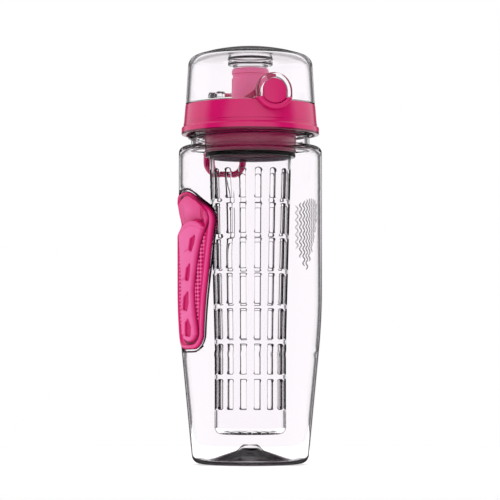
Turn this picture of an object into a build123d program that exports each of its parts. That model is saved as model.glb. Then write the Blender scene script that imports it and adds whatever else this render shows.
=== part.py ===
"""Fruit infuser water bottle.

A clear bottle with a kick-up base and a threaded neck carries a rubber hand grip.
Its screw lid is a collar, an inner lid and a spout under a clear flip dome that a
push button latches. A slotted basket hangs from the inner lid, and a carry loop
hangs at the back.

Frame: +Z up, origin on the bottle's axis in the plane it stands on. The push button
faces -Y, the lid hinge and the carry loop are towards +Y. Lengths are millimetres.
"""

import os
from math import acos, ceil, cos, pi, radians, sin, sqrt

from build123d import *

os.makedirs("parts", exist_ok=True)

# Fits shared by several pieces
run_fit = 0.05          # radial clearance of a pin in its hole
face_fit = 0.05         # gap between seal faces and what they seal on
glide_gap = 0.25        # gap round the button and between the lid's moving halves
rest_gap = 0.3          # gap under a piece that rests on a curved neighbour
overrun = 5.0           # how far a cutter reaches past what it cuts

# Bottle body
body_r = 45.3           # outer radius of the upper half
wall = 2.2
foot_r = 37.0           # radius where the base corner meets the side
foot_z = 6.0
bend_z = 91.3           # height where the leaning and the upright side would meet
bend_radius = 384.0     # rounding between the leaning and the upright side
shoulder_round = 7.6
neck_root_z = 200.3
neck_r = 37.5
neck_wall = 2.6
neck_h = 20.7
thread_h = 2.1          # height of the neck thread that the collar has to clear
ring_r = 26.0           # middle of the flat ring that the bottle stands on
ring_w = 2.4
floor_wall = 2.3
punt_edge_z = 1.4       # kick-up under the base, from its edge to its flat top
punt_step_r = 8.5
punt_step_z = 6.7
punt_top_r = 4.7
punt_top_z = 10.4
base_corner_r = 30.0    # where the inner floor turns into the inner corner
base_corner_z = 2.4

# Hand grip, in its own upright plane that faces the grip's direction
grip_angle = 189.8      # direction of the grip, counted from +X towards +Y
grip_bottom_z = 71.6
grip_h = 100.0
grip_front_w = 23.5     # half width at the shoulder nearer the button
grip_front_drop = 13.7  # how far that shoulder lies below the top
grip_rear_w = 21.5      # half width at the shoulder nearer the hinge
grip_rear_drop = 8.0
grip_low_w = 14.5       # half width at the bottom
grip_top_round = 6.0
grip_side_round = 7.0
grip_low_round = 9.5
grip_sink = 4.2         # depth of the recess that the grip lies in
grip_proud = 0.4        # how far its rim stands out of the bottle
grip_fit = 0.1          # gap between the grip and the edge of its recess
spine_proud = 1.1       # how far its raised spine stands out of the bottle
spine_inset = 3.4       # from the outline's top to the spine's top
spine_head_w = 18.8     # half widths of the spine from its head to its foot
spine_waist_w = 8.0
spine_foot_w = 11.6
spine_head_share = 0.80     # heights of those widths as shares of the grip's height
spine_waist_share = 0.33
spine_foot_share = 0.085
spine_base_inset = 3.0
spine_bow_share = 0.30      # how far the sides bow between head and waist
spine_flare_share = 0.25    # and between waist and foot
groove_w = 1.1          # groove that runs round the spine
groove_depth = 1.2
thumb_low_r = 42.9      # radius of the thumb ramp at its deep lower end
thumb_top_drop = 4.6    # from the grip's top to the ramp's upper end
thumb_h = 17.5
thumb_front_w = 15.0
thumb_round = 5.0
thumb_crown = 2.6       # rise of the ridge that ends the ramp
window_w = 5.8          # recessed windows of the spine
window_h = 12.6
window_round = 1.6
window_depth = 1.3
window_lean_deg = 8.0
window_z_shares = (0.66, 0.49, 0.31, 0.135)
window_x_shares = (0.50, 0.20, 0.10, 0.19)

# Lid stack on the neck
gasket_h = 1.3
deck_h = 2.7
lip_h = 1.4             # collar lip that holds the inner lid down
lip_w = 3.0
collar_h = 18.7
collar_top_r = 41.2
collar_mid_r = 42.5
bead_r = 43.6
bead_h = 4.5
bead_round = 0.7
collar_mouth = 1.6      # height of the bevel inside the collar's lower edge

# Skirt that holds the basket
skirt_r = 29.0
skirt_bore_r = 26.9
skirt_stop_r = 24.8     # bore above the basket's neck
skirt_h = 26.1
seal_h = 1.3

# Spout
spout_r = 11.7
spout_bore_r = 9.2
spout_h = 24.7
spout_root_r = 10.6
spout_flange_r = 14.0
spout_flange_h = 1.2
spout_groove_z = 18.5   # groove above the deck
spout_groove_h = 2.8
spout_groove_depth = 0.6
spout_lip_round = 0.8

# Flip dome
dome_foot_r = 41.0
dome_shoulder_r = 39.2
dome_wall_h = 28.2
dome_crown_h = 7.0
dome_wall = 2.0
dome_corner = 8.0
seal_cap_r = 14.2
seal_cap_wall = 1.8
seal_cap_gap = 0.7      # gap between the closing seal and the spout's rim

# Push button and its surround
button_r = 8.0
button_rise = 4.9       # centre of the round top above the collar's top edge
button_split = 1.1      # height above the collar's edge where the surround is split
button_sag = 3.9        # depth of the shallow lower arc of the button
button_cap = 3.0
button_edge = 0.5
bezel_w = 3.6
bezel_face = 43.9       # distance of the surround's face from the axis
bezel_depth = 10.9      # how deep the surround is drawn before it is hollowed
button_recess = 0.3     # how far the button lies behind that face
stem_r = 5.4
stem_end = 29.5         # distances of the stem's and the housing's ends from the axis
housing_front = 32.5
housing_floor = 26.5
housing_wall = 1.6
pocket_r = 3.2          # spring pocket inside the stem
pocket_floor = 36.0
post_r = 1.5
post_h = 2.6
gusset_w = 8.7          # sloping wings beside the latch housing
gusset_high = 8.8       # their inner and outer heights above the deck
gusset_low = 3.2
gusset_t = 2.0
catch_w = 6.0           # catch arm on the stem
catch_h = 5.4
catch_t = 1.5
ledge_h = 1.0           # ledge inside the dome that the catch faces
ledge_w = 7.0
button_notch_in = 2.6   # how far the button's notch reaches in from the collar bore

# Latch spring
latch_coil_r = 2.3
latch_wire_r = 0.3
latch_turns = 5

# Lid hinge
hinge_y = 44.5
hinge_rise = 9.5        # hinge axis above the collar's top edge
hinge_pin_r = 1.3
hinge_pin_half = 13.2
knuckle_r = 3.5
knuckle_half = 2.4      # half width of the collar's middle knuckle
lug_gap = 0.3
lug_w = 5.4             # width of each clear lug of the dome
lug_r = 3.7
lug_root_drop = 3.4     # web of a lug below and above the hinge axis
lug_root_rise = 2.6
shelf_half = 13.0       # half width of the bracket behind the collar
shelf_top = 3.0         # height of its top above the collar's edge
shelf_depth = 4.0       # how far it reaches behind the hinge axis
shelf_drop = 6.0        # how far it reaches below the collar's edge

# Torsion springs on the hinge pin
coil_r = 3.15
coil_wire_r = 0.45
coil_turns = 2          # full turns beyond the part turn between the legs
coil_pitch = 1.35
coil_leg_front = 3.2    # leg that bears on the dome
coil_front_deg = 159.0  # where the front leg leaves the coil

# Carry loop
loop_y = 48.0
loop_pivot_z = 217.0
loop_half = 14.75
loop_band = 4.2
loop_t = 3.6
loop_bottom_z = 184.4
loop_round = 10.5
loop_eye_r = 3.6
loop_edge = 0.8
loop_pin_r = 1.5
loop_pin_in = 6.0
loop_gap = 0.35         # side gap between an arm and the bracket
lug_block_h = 3.5       # bracket above and below the loop's pivot

# Basket
basket_top_r = 25.9
basket_low_r = 22.5
basket_low_z = 75.0
basket_bottom_z = 18.9
basket_wall = 1.5
basket_corner = 4.0
basket_bend = 60.0      # rounding where the basket's side turns upright
flange_r = 28.6
flange_top_z = 196.0
flange_h = 2.5
basket_neck_h = 13.0
slot_w = 3.7
slot_h = 18.4
slot_gap = 3.6
slot_rows = 7
slot_columns = 16
slot_first_z = 34.9
slot_round = 0.6
drain_r = 1.6           # middle drain hole and the ring of holes round it
drain_ring_r = 8.9
drain_count = 8
rim_drain_r = 1.25      # ring of smaller drain holes near the corner
rim_drain_ring_r = 15.6
rim_drain_count = 16

# Places worked out from the sizes above
neck_top_z = neck_root_z + neck_h
deck_z = neck_top_z + gasket_h + 2 * face_fit
deck_top_z = deck_z + deck_h
collar_top_z = deck_top_z + lip_h
collar_bottom_z = collar_top_z - collar_h
collar_bore_r = neck_r + thread_h + rest_gap
dome_foot_z = collar_top_z + rest_gap
dome_shoulder_z = dome_foot_z + dome_wall_h
dome_top_z = dome_shoulder_z + dome_crown_h
button_z = collar_top_z + button_rise
split_z = collar_top_z + button_split
hinge_z = collar_top_z + hinge_rise
spout_top_z = deck_top_z + spout_h
grip_top_z = grip_bottom_z + grip_h

# Planes: fronts are drawn looking along +Y, sides looking along -X
grip_plane = Plane(
    origin=(0, 0, 0),
    x_dir=(-sin(radians(grip_angle)), cos(radians(grip_angle)), 0),
    z_dir=(cos(radians(grip_angle)), sin(radians(grip_angle)), 0),
)


def front_plane(distance):
    """Upright plane that faces -Y at a distance in front of the axis; drawn in x and height."""
    return Plane(origin=(0, -distance, 0), x_dir=(1, 0, 0), z_dir=(0, -1, 0))


def side_plane(x):
    """Upright plane that faces +X; drawn in y and height."""
    return Plane(origin=(x, 0, 0), x_dir=(0, 1, 0), z_dir=(1, 0, 0))


def body_core(inset, low_z, high_z):
    """Solid of revolution with the bottle's side moved inwards by inset, between two heights."""
    with BuildPart() as core:
        with BuildSketch(Plane.XZ):
            with BuildLine():
                side = FilletPolyline(
                    (foot_r - inset, foot_z),
                    (body_r - inset, bend_z),
                    (body_r - inset, high_z),
                    radius=bend_radius,
                )
                Polyline(side @ 1, (0, high_z), (0, foot_z), side @ 0)
            make_face()
        revolve(axis=Axis.Z)
        with Locations((0, 0, low_z)):
            Cylinder(body_r * 2, low_z, align=(Align.CENTER, Align.CENTER, Align.MAX),
                     mode=Mode.SUBTRACT)
    return core.part


def button_outline(grow):
    """Edge of the button grown outwards: round top, straight sides, shallow arc below."""
    half = button_r + grow
    low = split_z - button_sag - grow
    ThreePointArc((half, button_z), (0, button_z + half), (-half, button_z))
    Line((-half, button_z), (-half, split_z))
    ThreePointArc((-half, split_z), (0, low), (half, split_z))
    Line((half, split_z), (half, button_z))


def biarc_path(points, tangents):
    """Joins points by pairs of arcs that agree in direction wherever they meet."""
    for p0, p1, t0, t1 in zip(points, points[1:], tangents, tangents[1:]):
        span = p1 - p0
        both = t0 + t1
        square = 2 * (1 - t0.dot(t1))
        along = span.dot(both)
        if square < 1e-9:
            reach = span.dot(span) / (4 * span.dot(t1))
        else:
            reach = (sqrt(along * along + square * span.dot(span)) - along) / square
        q0 = p0 + t0 * reach
        q1 = p1 - t1 * reach
        joint = (q0 + q1) * 0.5
        TangentArc(p0, joint, tangent=t0)
        TangentArc(joint, p1, tangent=q1 - q0)


# Bottle body
with BuildPart() as bottle_body:
    with BuildSketch(Plane.XZ):
        with BuildLine():
            outer = FilletPolyline(
                (foot_r, foot_z),
                (body_r, bend_z),
                (body_r, neck_root_z),
                (neck_r, neck_root_z),
                radius=[bend_radius, shoulder_round],
            )
            corner = Spline(
                (ring_r + ring_w / 2, 0), outer @ 0,
                tangents=[(1, 0), (outer % 0)],
            )
            Polyline(outer @ 1, (neck_r, neck_top_z), (0, neck_top_z), (0, punt_top_z),
                     (punt_top_r, punt_top_z), (punt_step_r, punt_step_z),
                     (ring_r - ring_w / 2 - punt_edge_z, punt_edge_z),
                     (ring_r - ring_w / 2, 0), (ring_r + ring_w / 2, 0))
        make_face()
    revolve(axis=Axis.Z)

with BuildPart() as cavity:
    with BuildSketch(Plane.XZ):
        with BuildLine():
            inner = FilletPolyline(
                (foot_r - wall, foot_z),
                (body_r - wall, bend_z),
                (body_r - wall, neck_root_z - wall),
                (neck_r - neck_wall, neck_root_z - wall),
                radius=[bend_radius - wall, shoulder_round - wall],
            )
            Spline(
                (base_corner_r, base_corner_z), inner @ 0,
                tangents=[(1, 0), (inner % 0)],
            )
            Polyline(inner @ 1, (neck_r - neck_wall, neck_top_z + overrun),
                     (0, neck_top_z + overrun), (0, punt_top_z + floor_wall),
                     (punt_top_r, punt_top_z + floor_wall),
                     (punt_step_r, punt_step_z + floor_wall),
                     (ring_r - ring_w / 2, punt_edge_z + floor_wall),
                     (base_corner_r, base_corner_z))
        make_face()
    revolve(axis=Axis.Z)


def grip_prism(grow):
    """Teardrop prism of the grip, grown outwards by grow, from the axis out past the side."""
    with BuildPart() as prism:
        with BuildSketch(grip_plane):
            with BuildLine():
                FilletPolyline(
                    (0, grip_top_z),
                    (-grip_rear_w, grip_top_z - grip_rear_drop),
                    (-grip_low_w, grip_bottom_z),
                    (grip_low_w, grip_bottom_z),
                    (grip_front_w, grip_top_z - grip_front_drop),
                    radius=[grip_top_round, grip_side_round, grip_low_round,
                            grip_low_round, grip_side_round],
                    close=True,
                )
            make_face()
            if grow:
                offset(amount=grow)
        extrude(amount=body_r + overrun)
    return prism.part


def spine_prism(grow):
    """Goblet-shaped prism of the grip's raised spine, grown outwards by grow."""
    head_z = grip_bottom_z + grip_h * spine_head_share
    waist_z = grip_bottom_z + grip_h * spine_waist_share
    low_z = grip_bottom_z + grip_h * spine_foot_share
    base_z = grip_bottom_z + spine_base_inset
    top_z = grip_top_z - spine_inset
    neck_w = spine_waist_w + (spine_head_w - spine_waist_w) * spine_bow_share
    ankle_w = spine_waist_w + (spine_foot_w - spine_waist_w) * spine_flare_share
    with BuildPart() as prism:
        with BuildSketch(grip_plane):
            with BuildLine():
                for side in (-1, 1):
                    ThreePointArc((side * spine_head_w, head_z),
                                  (side * neck_w, (head_z + waist_z) / 2),
                                  (side * spine_waist_w, waist_z))
                    ThreePointArc((side * spine_waist_w, waist_z),
                                  (side * ankle_w, (waist_z + low_z) / 2),
                                  (side * spine_foot_w, low_z))
                ThreePointArc((spine_foot_w, low_z), (0, base_z), (-spine_foot_w, low_z))
                ThreePointArc((-spine_head_w, head_z), (0, top_z), (spine_head_w, head_z))
            make_face()
            if grow:
                offset(amount=grow)
        extrude(amount=body_r + overrun)
    return prism.part


grip_low_z = grip_bottom_z - overrun
grip_high_z = grip_top_z + overrun
recess = grip_prism(0) - body_core(grip_sink, grip_low_z, grip_high_z)
bulge = grip_prism(wall) - body_core(grip_sink + wall, grip_low_z - wall, grip_high_z + wall)

with BuildPart() as bottle:
    add(bottle_body.part)
    add(recess, mode=Mode.SUBTRACT)
    add(cavity.part - bulge, mode=Mode.SUBTRACT)
bottle.part.label = "bottle_body"
export_step(bottle.part, "parts/bottle_body.step")

# Hand grip
thumb_top_z = grip_top_z - thumb_top_drop
thumb_low_z = thumb_top_z - thumb_h
with BuildPart() as thumb_core:
    with BuildSketch(Plane.XZ):
        with BuildLine():
            Polyline((0, grip_low_z), (thumb_low_r, grip_low_z), (thumb_low_r, thumb_low_z),
                     (body_r + grip_proud, thumb_top_z), (body_r + grip_proud, grip_high_z),
                     (0, grip_high_z), close=True)
        make_face()
    revolve(axis=Axis.Z)

with BuildPart() as thumb_prism:
    with BuildSketch(grip_plane):
        with BuildLine():
            ThreePointArc((-grip_rear_w - overrun, thumb_low_z),
                          (0, thumb_low_z + thumb_crown),
                          (thumb_front_w, thumb_low_z + thumb_crown / 4))
            FilletPolyline((thumb_front_w, thumb_low_z + thumb_crown / 4),
                           (thumb_front_w, thumb_top_z),
                           (-grip_rear_w - overrun, thumb_top_z), radius=thumb_round)
            Line((-grip_rear_w - overrun, thumb_top_z), (-grip_rear_w - overrun, thumb_low_z))
        make_face()
    extrude(amount=body_r + overrun)

with BuildPart() as windows:
    for z_share, x_share in zip(window_z_shares, window_x_shares):
        with BuildSketch(grip_plane):
            with Locations((spine_head_w * x_share, grip_bottom_z + grip_h * z_share)):
                RectangleRounded(window_w, window_h, window_round, rotation=-window_lean_deg)
        extrude(amount=body_r + overrun)

rim = body_core(-grip_proud, grip_low_z, grip_high_z)
spine_top = body_core(-spine_proud, grip_low_z, grip_high_z)
groove_floor = body_core(groove_depth - grip_proud, grip_low_z, grip_high_z)
window_floor = body_core(window_depth - spine_proud, grip_low_z, grip_high_z)
recess_floor = body_core(grip_sink - face_fit, grip_low_z, grip_high_z)
with BuildPart() as grip:
    add(grip_prism(-grip_fit) & rim)
    add((spine_prism(groove_w) & grip_prism(-grip_fit)) - groove_floor, mode=Mode.SUBTRACT)
    add(spine_prism(0) & spine_top)
    add(thumb_prism.part - thumb_core.part, mode=Mode.SUBTRACT)
    add(windows.part - window_floor, mode=Mode.SUBTRACT)
    add(recess_floor, mode=Mode.SUBTRACT)
grip.part.label = "grip_pad"
export_step(grip.part, "parts/grip_pad.step")

# Neck gasket
with BuildPart() as gasket:
    with BuildSketch(Plane.XY.offset(neck_top_z + face_fit)):
        Circle(neck_r)
        Circle(neck_r - neck_wall, mode=Mode.SUBTRACT)
    extrude(amount=gasket_h)
gasket.part.label = "neck_gasket"
export_step(gasket.part, "parts/neck_gasket.step")

# Collar with the lower half of the button surround and the hinge and loop brackets
shelf_low_z = collar_top_z - shelf_drop
shelf_top_z = collar_top_z + shelf_top
loop_inner = loop_half - loop_band
block_half = loop_inner - loop_gap
shelf_front_y = dome_foot_r + 2 * rest_gap
with BuildPart() as collar:
    with BuildSketch(Plane.XZ):
        with BuildLine():
            Polyline((0, collar_bottom_z), (bead_r, collar_bottom_z),
                     (bead_r, collar_bottom_z + bead_h),
                     (collar_mid_r, collar_bottom_z + bead_h),
                     (collar_top_r, collar_top_z), (0, collar_top_z), close=True)
        make_face()
    revolve(axis=Axis.Z)
    bead_edges = collar.edges().filter_by(GeomType.CIRCLE).filter_by(
        lambda e: abs(e.radius - bead_r) < bead_round / 2)
    fillet(bead_edges, bead_round)
    # Lower half of the surround
    with BuildSketch(front_plane(bezel_face)):
        with BuildLine():
            button_outline(bezel_w)
        make_face()
        with Locations((0, split_z)):
            Rectangle(4 * bezel_face, button_z, align=(Align.CENTER, Align.MIN),
                      mode=Mode.SUBTRACT)
    extrude(amount=-bezel_depth)
    # Hinge shelf and the bracket of the carry loop
    with BuildSketch(side_plane(-shelf_half)):
        with BuildLine():
            Polyline((collar_top_r - lip_w, shelf_low_z), (hinge_y, shelf_low_z),
                     (hinge_y + shelf_depth, shelf_low_z + shelf_depth / 2),
                     (hinge_y + shelf_depth, shelf_top_z), (shelf_front_y, shelf_top_z),
                     (shelf_front_y, collar_top_z), (collar_top_r - lip_w, collar_top_z),
                     close=True)
        make_face()
    extrude(amount=2 * shelf_half)
    with BuildSketch(side_plane(-block_half)):
        with BuildLine():
            Polyline((collar_bore_r, loop_pivot_z - lug_block_h), (loop_y, loop_pivot_z - lug_block_h),
                     (loop_y + lug_block_h / 2, loop_pivot_z),
                     (loop_y, loop_pivot_z + lug_block_h),
                     (hinge_y, shelf_low_z + shelf_depth / 2),
                     (collar_bore_r, shelf_low_z + shelf_depth / 2), close=True)
        make_face()
    extrude(amount=2 * block_half)
    # Middle knuckle of the hinge on its post
    with BuildSketch(side_plane(-knuckle_half)):
        with Locations((hinge_y, hinge_z)):
            Circle(knuckle_r)
        with BuildLine():
            Polyline((hinge_y - knuckle_r, hinge_z), (hinge_y + knuckle_r, hinge_z),
                     (hinge_y + shelf_depth, shelf_top_z), (hinge_y - knuckle_r + rest_gap, shelf_top_z),
                     close=True)
        make_face()
    extrude(amount=2 * knuckle_half)
    # Bore, inner seat of the lid, bevelled mouth
    with BuildSketch(Plane.XZ):
        with BuildLine():
            Polyline((0, collar_bottom_z - overrun), (collar_bore_r + overrun + collar_mouth,
                                                      collar_bottom_z - overrun),
                     (collar_bore_r, collar_bottom_z + collar_mouth),
                     (collar_bore_r, deck_top_z), (collar_top_r - lip_w, deck_top_z),
                     (collar_top_r - lip_w, collar_top_z + overrun), (0, collar_top_z + overrun),
                     close=True)
        make_face()
    revolve(axis=Axis.Z, mode=Mode.SUBTRACT)
    # Way of the button
    with BuildSketch(front_plane(bezel_face + overrun)):
        with BuildLine():
            button_outline(glide_gap)
        make_face()
    extrude(amount=-(bezel_face + overrun - collar_bore_r + button_notch_in + lip_w),
            mode=Mode.SUBTRACT)
    # Holes for the hinge pin and the loop pins
    with BuildSketch(side_plane(-shelf_half - overrun)):
        with Locations((hinge_y, hinge_z)):
            Circle(hinge_pin_r + run_fit)
        with Locations((loop_y, loop_pivot_z)):
            Circle(loop_pin_r + run_fit)
    extrude(amount=2 * (shelf_half + overrun), mode=Mode.SUBTRACT)
collar.part.label = "collar"
export_step(collar.part, "parts/collar.step")

# Inner lid: deck, skirt and latch housing
skirt_low_z = deck_z - skirt_h
basket_neck_z = flange_top_z + basket_neck_h
stop_z = basket_neck_z + seal_h + 2 * face_fit
housing_r = stem_r + glide_gap + housing_wall
wing_x = housing_r + gusset_w
with BuildPart() as inner_lid:
    with BuildSketch(Plane.XZ):
        with BuildLine():
            Polyline((skirt_bore_r, skirt_low_z), (skirt_r, skirt_low_z), (skirt_r, deck_z),
                     (collar_bore_r - face_fit, deck_z), (collar_bore_r - face_fit, deck_top_z),
                     (spout_root_r + run_fit, deck_top_z), (spout_root_r + run_fit, deck_z),
                     (skirt_stop_r, deck_z), (skirt_stop_r, stop_z), (skirt_bore_r, stop_z),
                     close=True)
        make_face()
    revolve(axis=Axis.Z)
    # Housing with its sloping wings
    with BuildSketch(front_plane(housing_front)):
        with BuildLine():
            Polyline((-housing_r, deck_z), (-housing_r, button_z), (housing_r, button_z),
                     (housing_r, deck_z), close=True)
        make_face()
        with Locations((0, button_z)):
            Circle(housing_r)
    extrude(amount=-(housing_front - housing_floor + housing_wall))
    with BuildSketch(front_plane(housing_front - gusset_t / 2)):
        with BuildLine():
            Polyline((-wing_x, deck_z), (-wing_x, deck_top_z + gusset_low),
                     (-housing_r, deck_top_z + gusset_high), (housing_r, deck_top_z + gusset_high),
                     (wing_x, deck_top_z + gusset_low), (wing_x, deck_z), close=True)
        make_face()
    extrude(amount=-gusset_t)
    with BuildSketch(front_plane(housing_front + overrun)):
        with Locations((0, button_z)):
            Circle(stem_r + 2 * run_fit)
    extrude(amount=-(housing_front + overrun - housing_floor), mode=Mode.SUBTRACT)
    # Spring post on the housing's back wall
    with BuildSketch(front_plane(housing_floor)):
        with Locations((0, button_z)):
            Circle(post_r)
    extrude(amount=post_h)
    # Shallow notch that the button's lower edge moves in
    with BuildSketch(front_plane(bezel_face + overrun)):
        with BuildLine():
            button_outline(glide_gap)
        make_face()
    extrude(amount=-(bezel_face + overrun - collar_bore_r + button_notch_in), mode=Mode.SUBTRACT)
inner_lid.part.label = "inner_lid"
export_step(inner_lid.part, "parts/inner_lid.step")

# Spout
with BuildPart() as spout:
    with BuildSketch(Plane.XZ):
        with BuildLine():
            groove_z = deck_top_z + spout_groove_z
            Polyline((spout_bore_r, deck_z), (spout_root_r, deck_z),
                     (spout_root_r, deck_top_z + face_fit), (spout_flange_r, deck_top_z + face_fit),
                     (spout_flange_r, deck_top_z + spout_flange_h),
                     (spout_r, deck_top_z + spout_flange_h), (spout_r, groove_z),
                     (spout_r - spout_groove_depth, groove_z),
                     (spout_r - spout_groove_depth, groove_z + spout_groove_h),
                     (spout_r, groove_z + spout_groove_h), (spout_r, spout_top_z),
                     (spout_bore_r, spout_top_z), close=True)
        make_face()
        lip = spout_top_z - spout_groove_h / 2
        fillet([v for v in vertices() if v.Y > lip], spout_lip_round)
    revolve(axis=Axis.Z)
spout.part.label = "spout"
export_step(spout.part, "parts/spout.step")


def dome_solid(inset):
    """Dome moved inwards by inset; as a cutter it also reaches down past its foot."""
    foot = dome_foot_z - (overrun if inset else 0)
    crown_r = (dome_shoulder_r ** 2 + dome_crown_h ** 2) / (2 * dome_crown_h)
    centre_z = dome_top_z - crown_r
    shoulder = dome_shoulder_r - inset
    edge_z = centre_z + sqrt((crown_r - inset) ** 2 - shoulder ** 2)
    halfway = (pi / 2 + acos(shoulder / (crown_r - inset))) / 2
    with BuildPart() as dome:
        with BuildSketch(Plane.XZ):
            with BuildLine():
                Polyline((0, dome_top_z - inset), (0, foot), (dome_foot_r - inset, foot))
                if inset:
                    Line((dome_foot_r - inset, foot), (dome_foot_r - inset, dome_foot_z))
                Line((dome_foot_r - inset, dome_foot_z), (shoulder, edge_z))
                ThreePointArc((shoulder, edge_z),
                              ((crown_r - inset) * cos(halfway),
                               centre_z + (crown_r - inset) * sin(halfway)),
                              (0, dome_top_z - inset))
            make_face()
            fillet(vertices().sort_by_distance((shoulder, edge_z))[0], dome_corner - inset / 2)
        revolve(axis=Axis.Z)
    return dome.part


# Flip dome
dome_inside = dome_solid(dome_wall)
ledge_z = button_z + button_r + 2 * glide_gap
ledge_y = dome_shoulder_r - dome_wall - rest_gap
with BuildPart() as flip_lid:
    add(dome_solid(0))
    with BuildSketch(front_plane(bezel_face)):
        with BuildLine():
            button_outline(bezel_w)
        make_face()
        with Locations((0, split_z + glide_gap)):
            Rectangle(4 * bezel_face, button_z, align=(Align.CENTER, Align.MAX),
                      mode=Mode.SUBTRACT)
    extrude(amount=-bezel_depth)
    for side in (-1, 1):
        inner_x = side * (knuckle_half + lug_gap)
        with BuildSketch(side_plane(inner_x)):
            with BuildLine():
                Polyline((dome_shoulder_r - dome_wall, hinge_z - lug_root_drop),
                         (hinge_y, hinge_z - lug_r), (hinge_y, hinge_z + lug_r),
                         (dome_shoulder_r - dome_wall, hinge_z + lug_root_rise + lug_r / 2), close=True)
            make_face()
            with Locations((hinge_y, hinge_z)):
                Circle(lug_r)
        extrude(amount=side * lug_w)
    add(dome_inside, mode=Mode.SUBTRACT)
    with BuildSketch(front_plane(ledge_y)):
        with Locations((0, ledge_z)):
            Rectangle(ledge_w, ledge_h, align=(Align.CENTER, Align.MIN))
    extrude(amount=dome_wall)
    with BuildSketch(side_plane(-shelf_half)):
        with Locations((hinge_y, hinge_z)):
            Circle(hinge_pin_r + run_fit)
    extrude(amount=2 * shelf_half, mode=Mode.SUBTRACT)
    with BuildSketch(front_plane(bezel_face + overrun)):
        with Locations((0, button_z)):
            Circle(button_r + glide_gap)
            Rectangle(2 * (button_r + glide_gap), button_z, align=(Align.CENTER, Align.MAX))
    extrude(amount=-(bezel_depth + overrun), mode=Mode.SUBTRACT)
    with BuildSketch(front_plane(bezel_face + overrun)):
        with BuildLine():
            button_outline(bezel_w + glide_gap)
        make_face()
        with Locations((0, split_z + glide_gap)):
            Rectangle(4 * bezel_face, button_z, align=(Align.CENTER, Align.MIN),
                      mode=Mode.SUBTRACT)
    extrude(amount=-(bezel_depth + overrun), mode=Mode.SUBTRACT)
flip_lid.part.label = "flip_lid"
export_step(flip_lid.part, "parts/flip_lid.step")

# Closing seal under the dome
seal_low_z = spout_top_z + seal_cap_gap
with BuildPart() as spout_seal:
    with BuildSketch(Plane.XY.offset(seal_low_z)):
        Circle(seal_cap_r)
    extrude(amount=dome_top_z - seal_low_z)
    with BuildSketch(Plane.XY.offset(seal_low_z + seal_cap_wall)):
        Circle(seal_cap_r - seal_cap_wall)
    extrude(amount=dome_top_z - seal_low_z, mode=Mode.SUBTRACT)
    add(dome_solid(dome_wall + face_fit), mode=Mode.INTERSECT)
spout_seal.part.label = "spout_seal"
export_step(spout_seal.part, "parts/spout_seal.step")

# Push button with stem and catch
button_front = bezel_face - button_recess
stem_start = button_front - button_cap
with BuildPart() as button:
    with BuildSketch(front_plane(button_front)):
        with BuildLine():
            button_outline(0)
        make_face()
    extrude(amount=-button_cap)
    chamfer(button.faces().sort_by(Axis.Y)[0].edges(), button_edge)
    with BuildSketch(front_plane(stem_start)):
        with Locations((0, button_z)):
            Circle(stem_r)
    extrude(amount=-(stem_start - stem_end))
    with BuildSketch(front_plane(stem_end - overrun)):
        with Locations((0, button_z)):
            Circle(pocket_r)
    extrude(amount=pocket_floor - stem_end + overrun, mode=Mode.SUBTRACT)
    with BuildSketch(front_plane(ledge_y - rest_gap)):
        with Locations((0, button_z + stem_r - catch_t / 2)):
            Rectangle(catch_w, catch_h + catch_t / 2, align=(Align.CENTER, Align.MIN))
    extrude(amount=-catch_t)
button.part.label = "latch_button"
export_step(button.part, "parts/latch_button.step")


def coil_points(centre, along, up, side, radius, start_deg, turn_deg, pitch):
    """Points and directions of a coil, about a quarter turn apart, wound about the along axis."""
    steps = ceil(abs(turn_deg) / 90)
    way = 1 if turn_deg > 0 else -1
    points = []
    tangents = []
    for n in range(steps + 1):
        turned = radians(abs(turn_deg) * n / steps)
        angle = radians(start_deg) + way * turned
        out = up * cos(angle) + side * sin(angle)
        round_way = (side * cos(angle) - up * sin(angle)) * way
        points.append(centre + out * radius + along * (pitch * turned / (2 * pi)))
        tangents.append((round_way * (2 * pi * radius) + along * pitch).normalized())
    return points, tangents


def least_coil_gap(radius, pitch, turns, wire_r):
    """Least distance between neighbouring turns of a coil, measured on points of its middle line."""
    steps = 48
    line = [
        Vector(radius * cos(2 * pi * n / steps), radius * sin(2 * pi * n / steps), pitch * n / steps)
        for n in range(steps * turns + 1)
    ]
    far = steps // 2
    return min((a - b).length for n, a in enumerate(line) for b in line[n + far:]) - 2 * wire_r


# Latch spring
latch_length = pocket_floor - housing_floor
latch_pitch = (latch_length - 2 * latch_wire_r - 2 * face_fit) / latch_turns
points, tangents = coil_points(
    Vector(0, -housing_floor - latch_wire_r - face_fit, button_z),
    Vector(0, -1, 0), Vector(0, 0, 1), Vector(1, 0, 0),
    latch_coil_r, 0, 360 * latch_turns, latch_pitch)
with BuildPart() as latch_spring:
    with BuildLine() as coil:
        biarc_path(points, tangents)
    with BuildSketch(Plane(origin=points[0], z_dir=tangents[0])):
        Circle(latch_wire_r)
    sweep(path=coil.wires()[0])
latch_spring.part.label = "latch_spring"
export_step(latch_spring.part, "parts/latch_spring.step")
latch_gap = least_coil_gap(latch_coil_r, latch_pitch, latch_turns, latch_wire_r)
print("latch spring, gap between turns:", round(latch_gap, 2), "mm")

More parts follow.
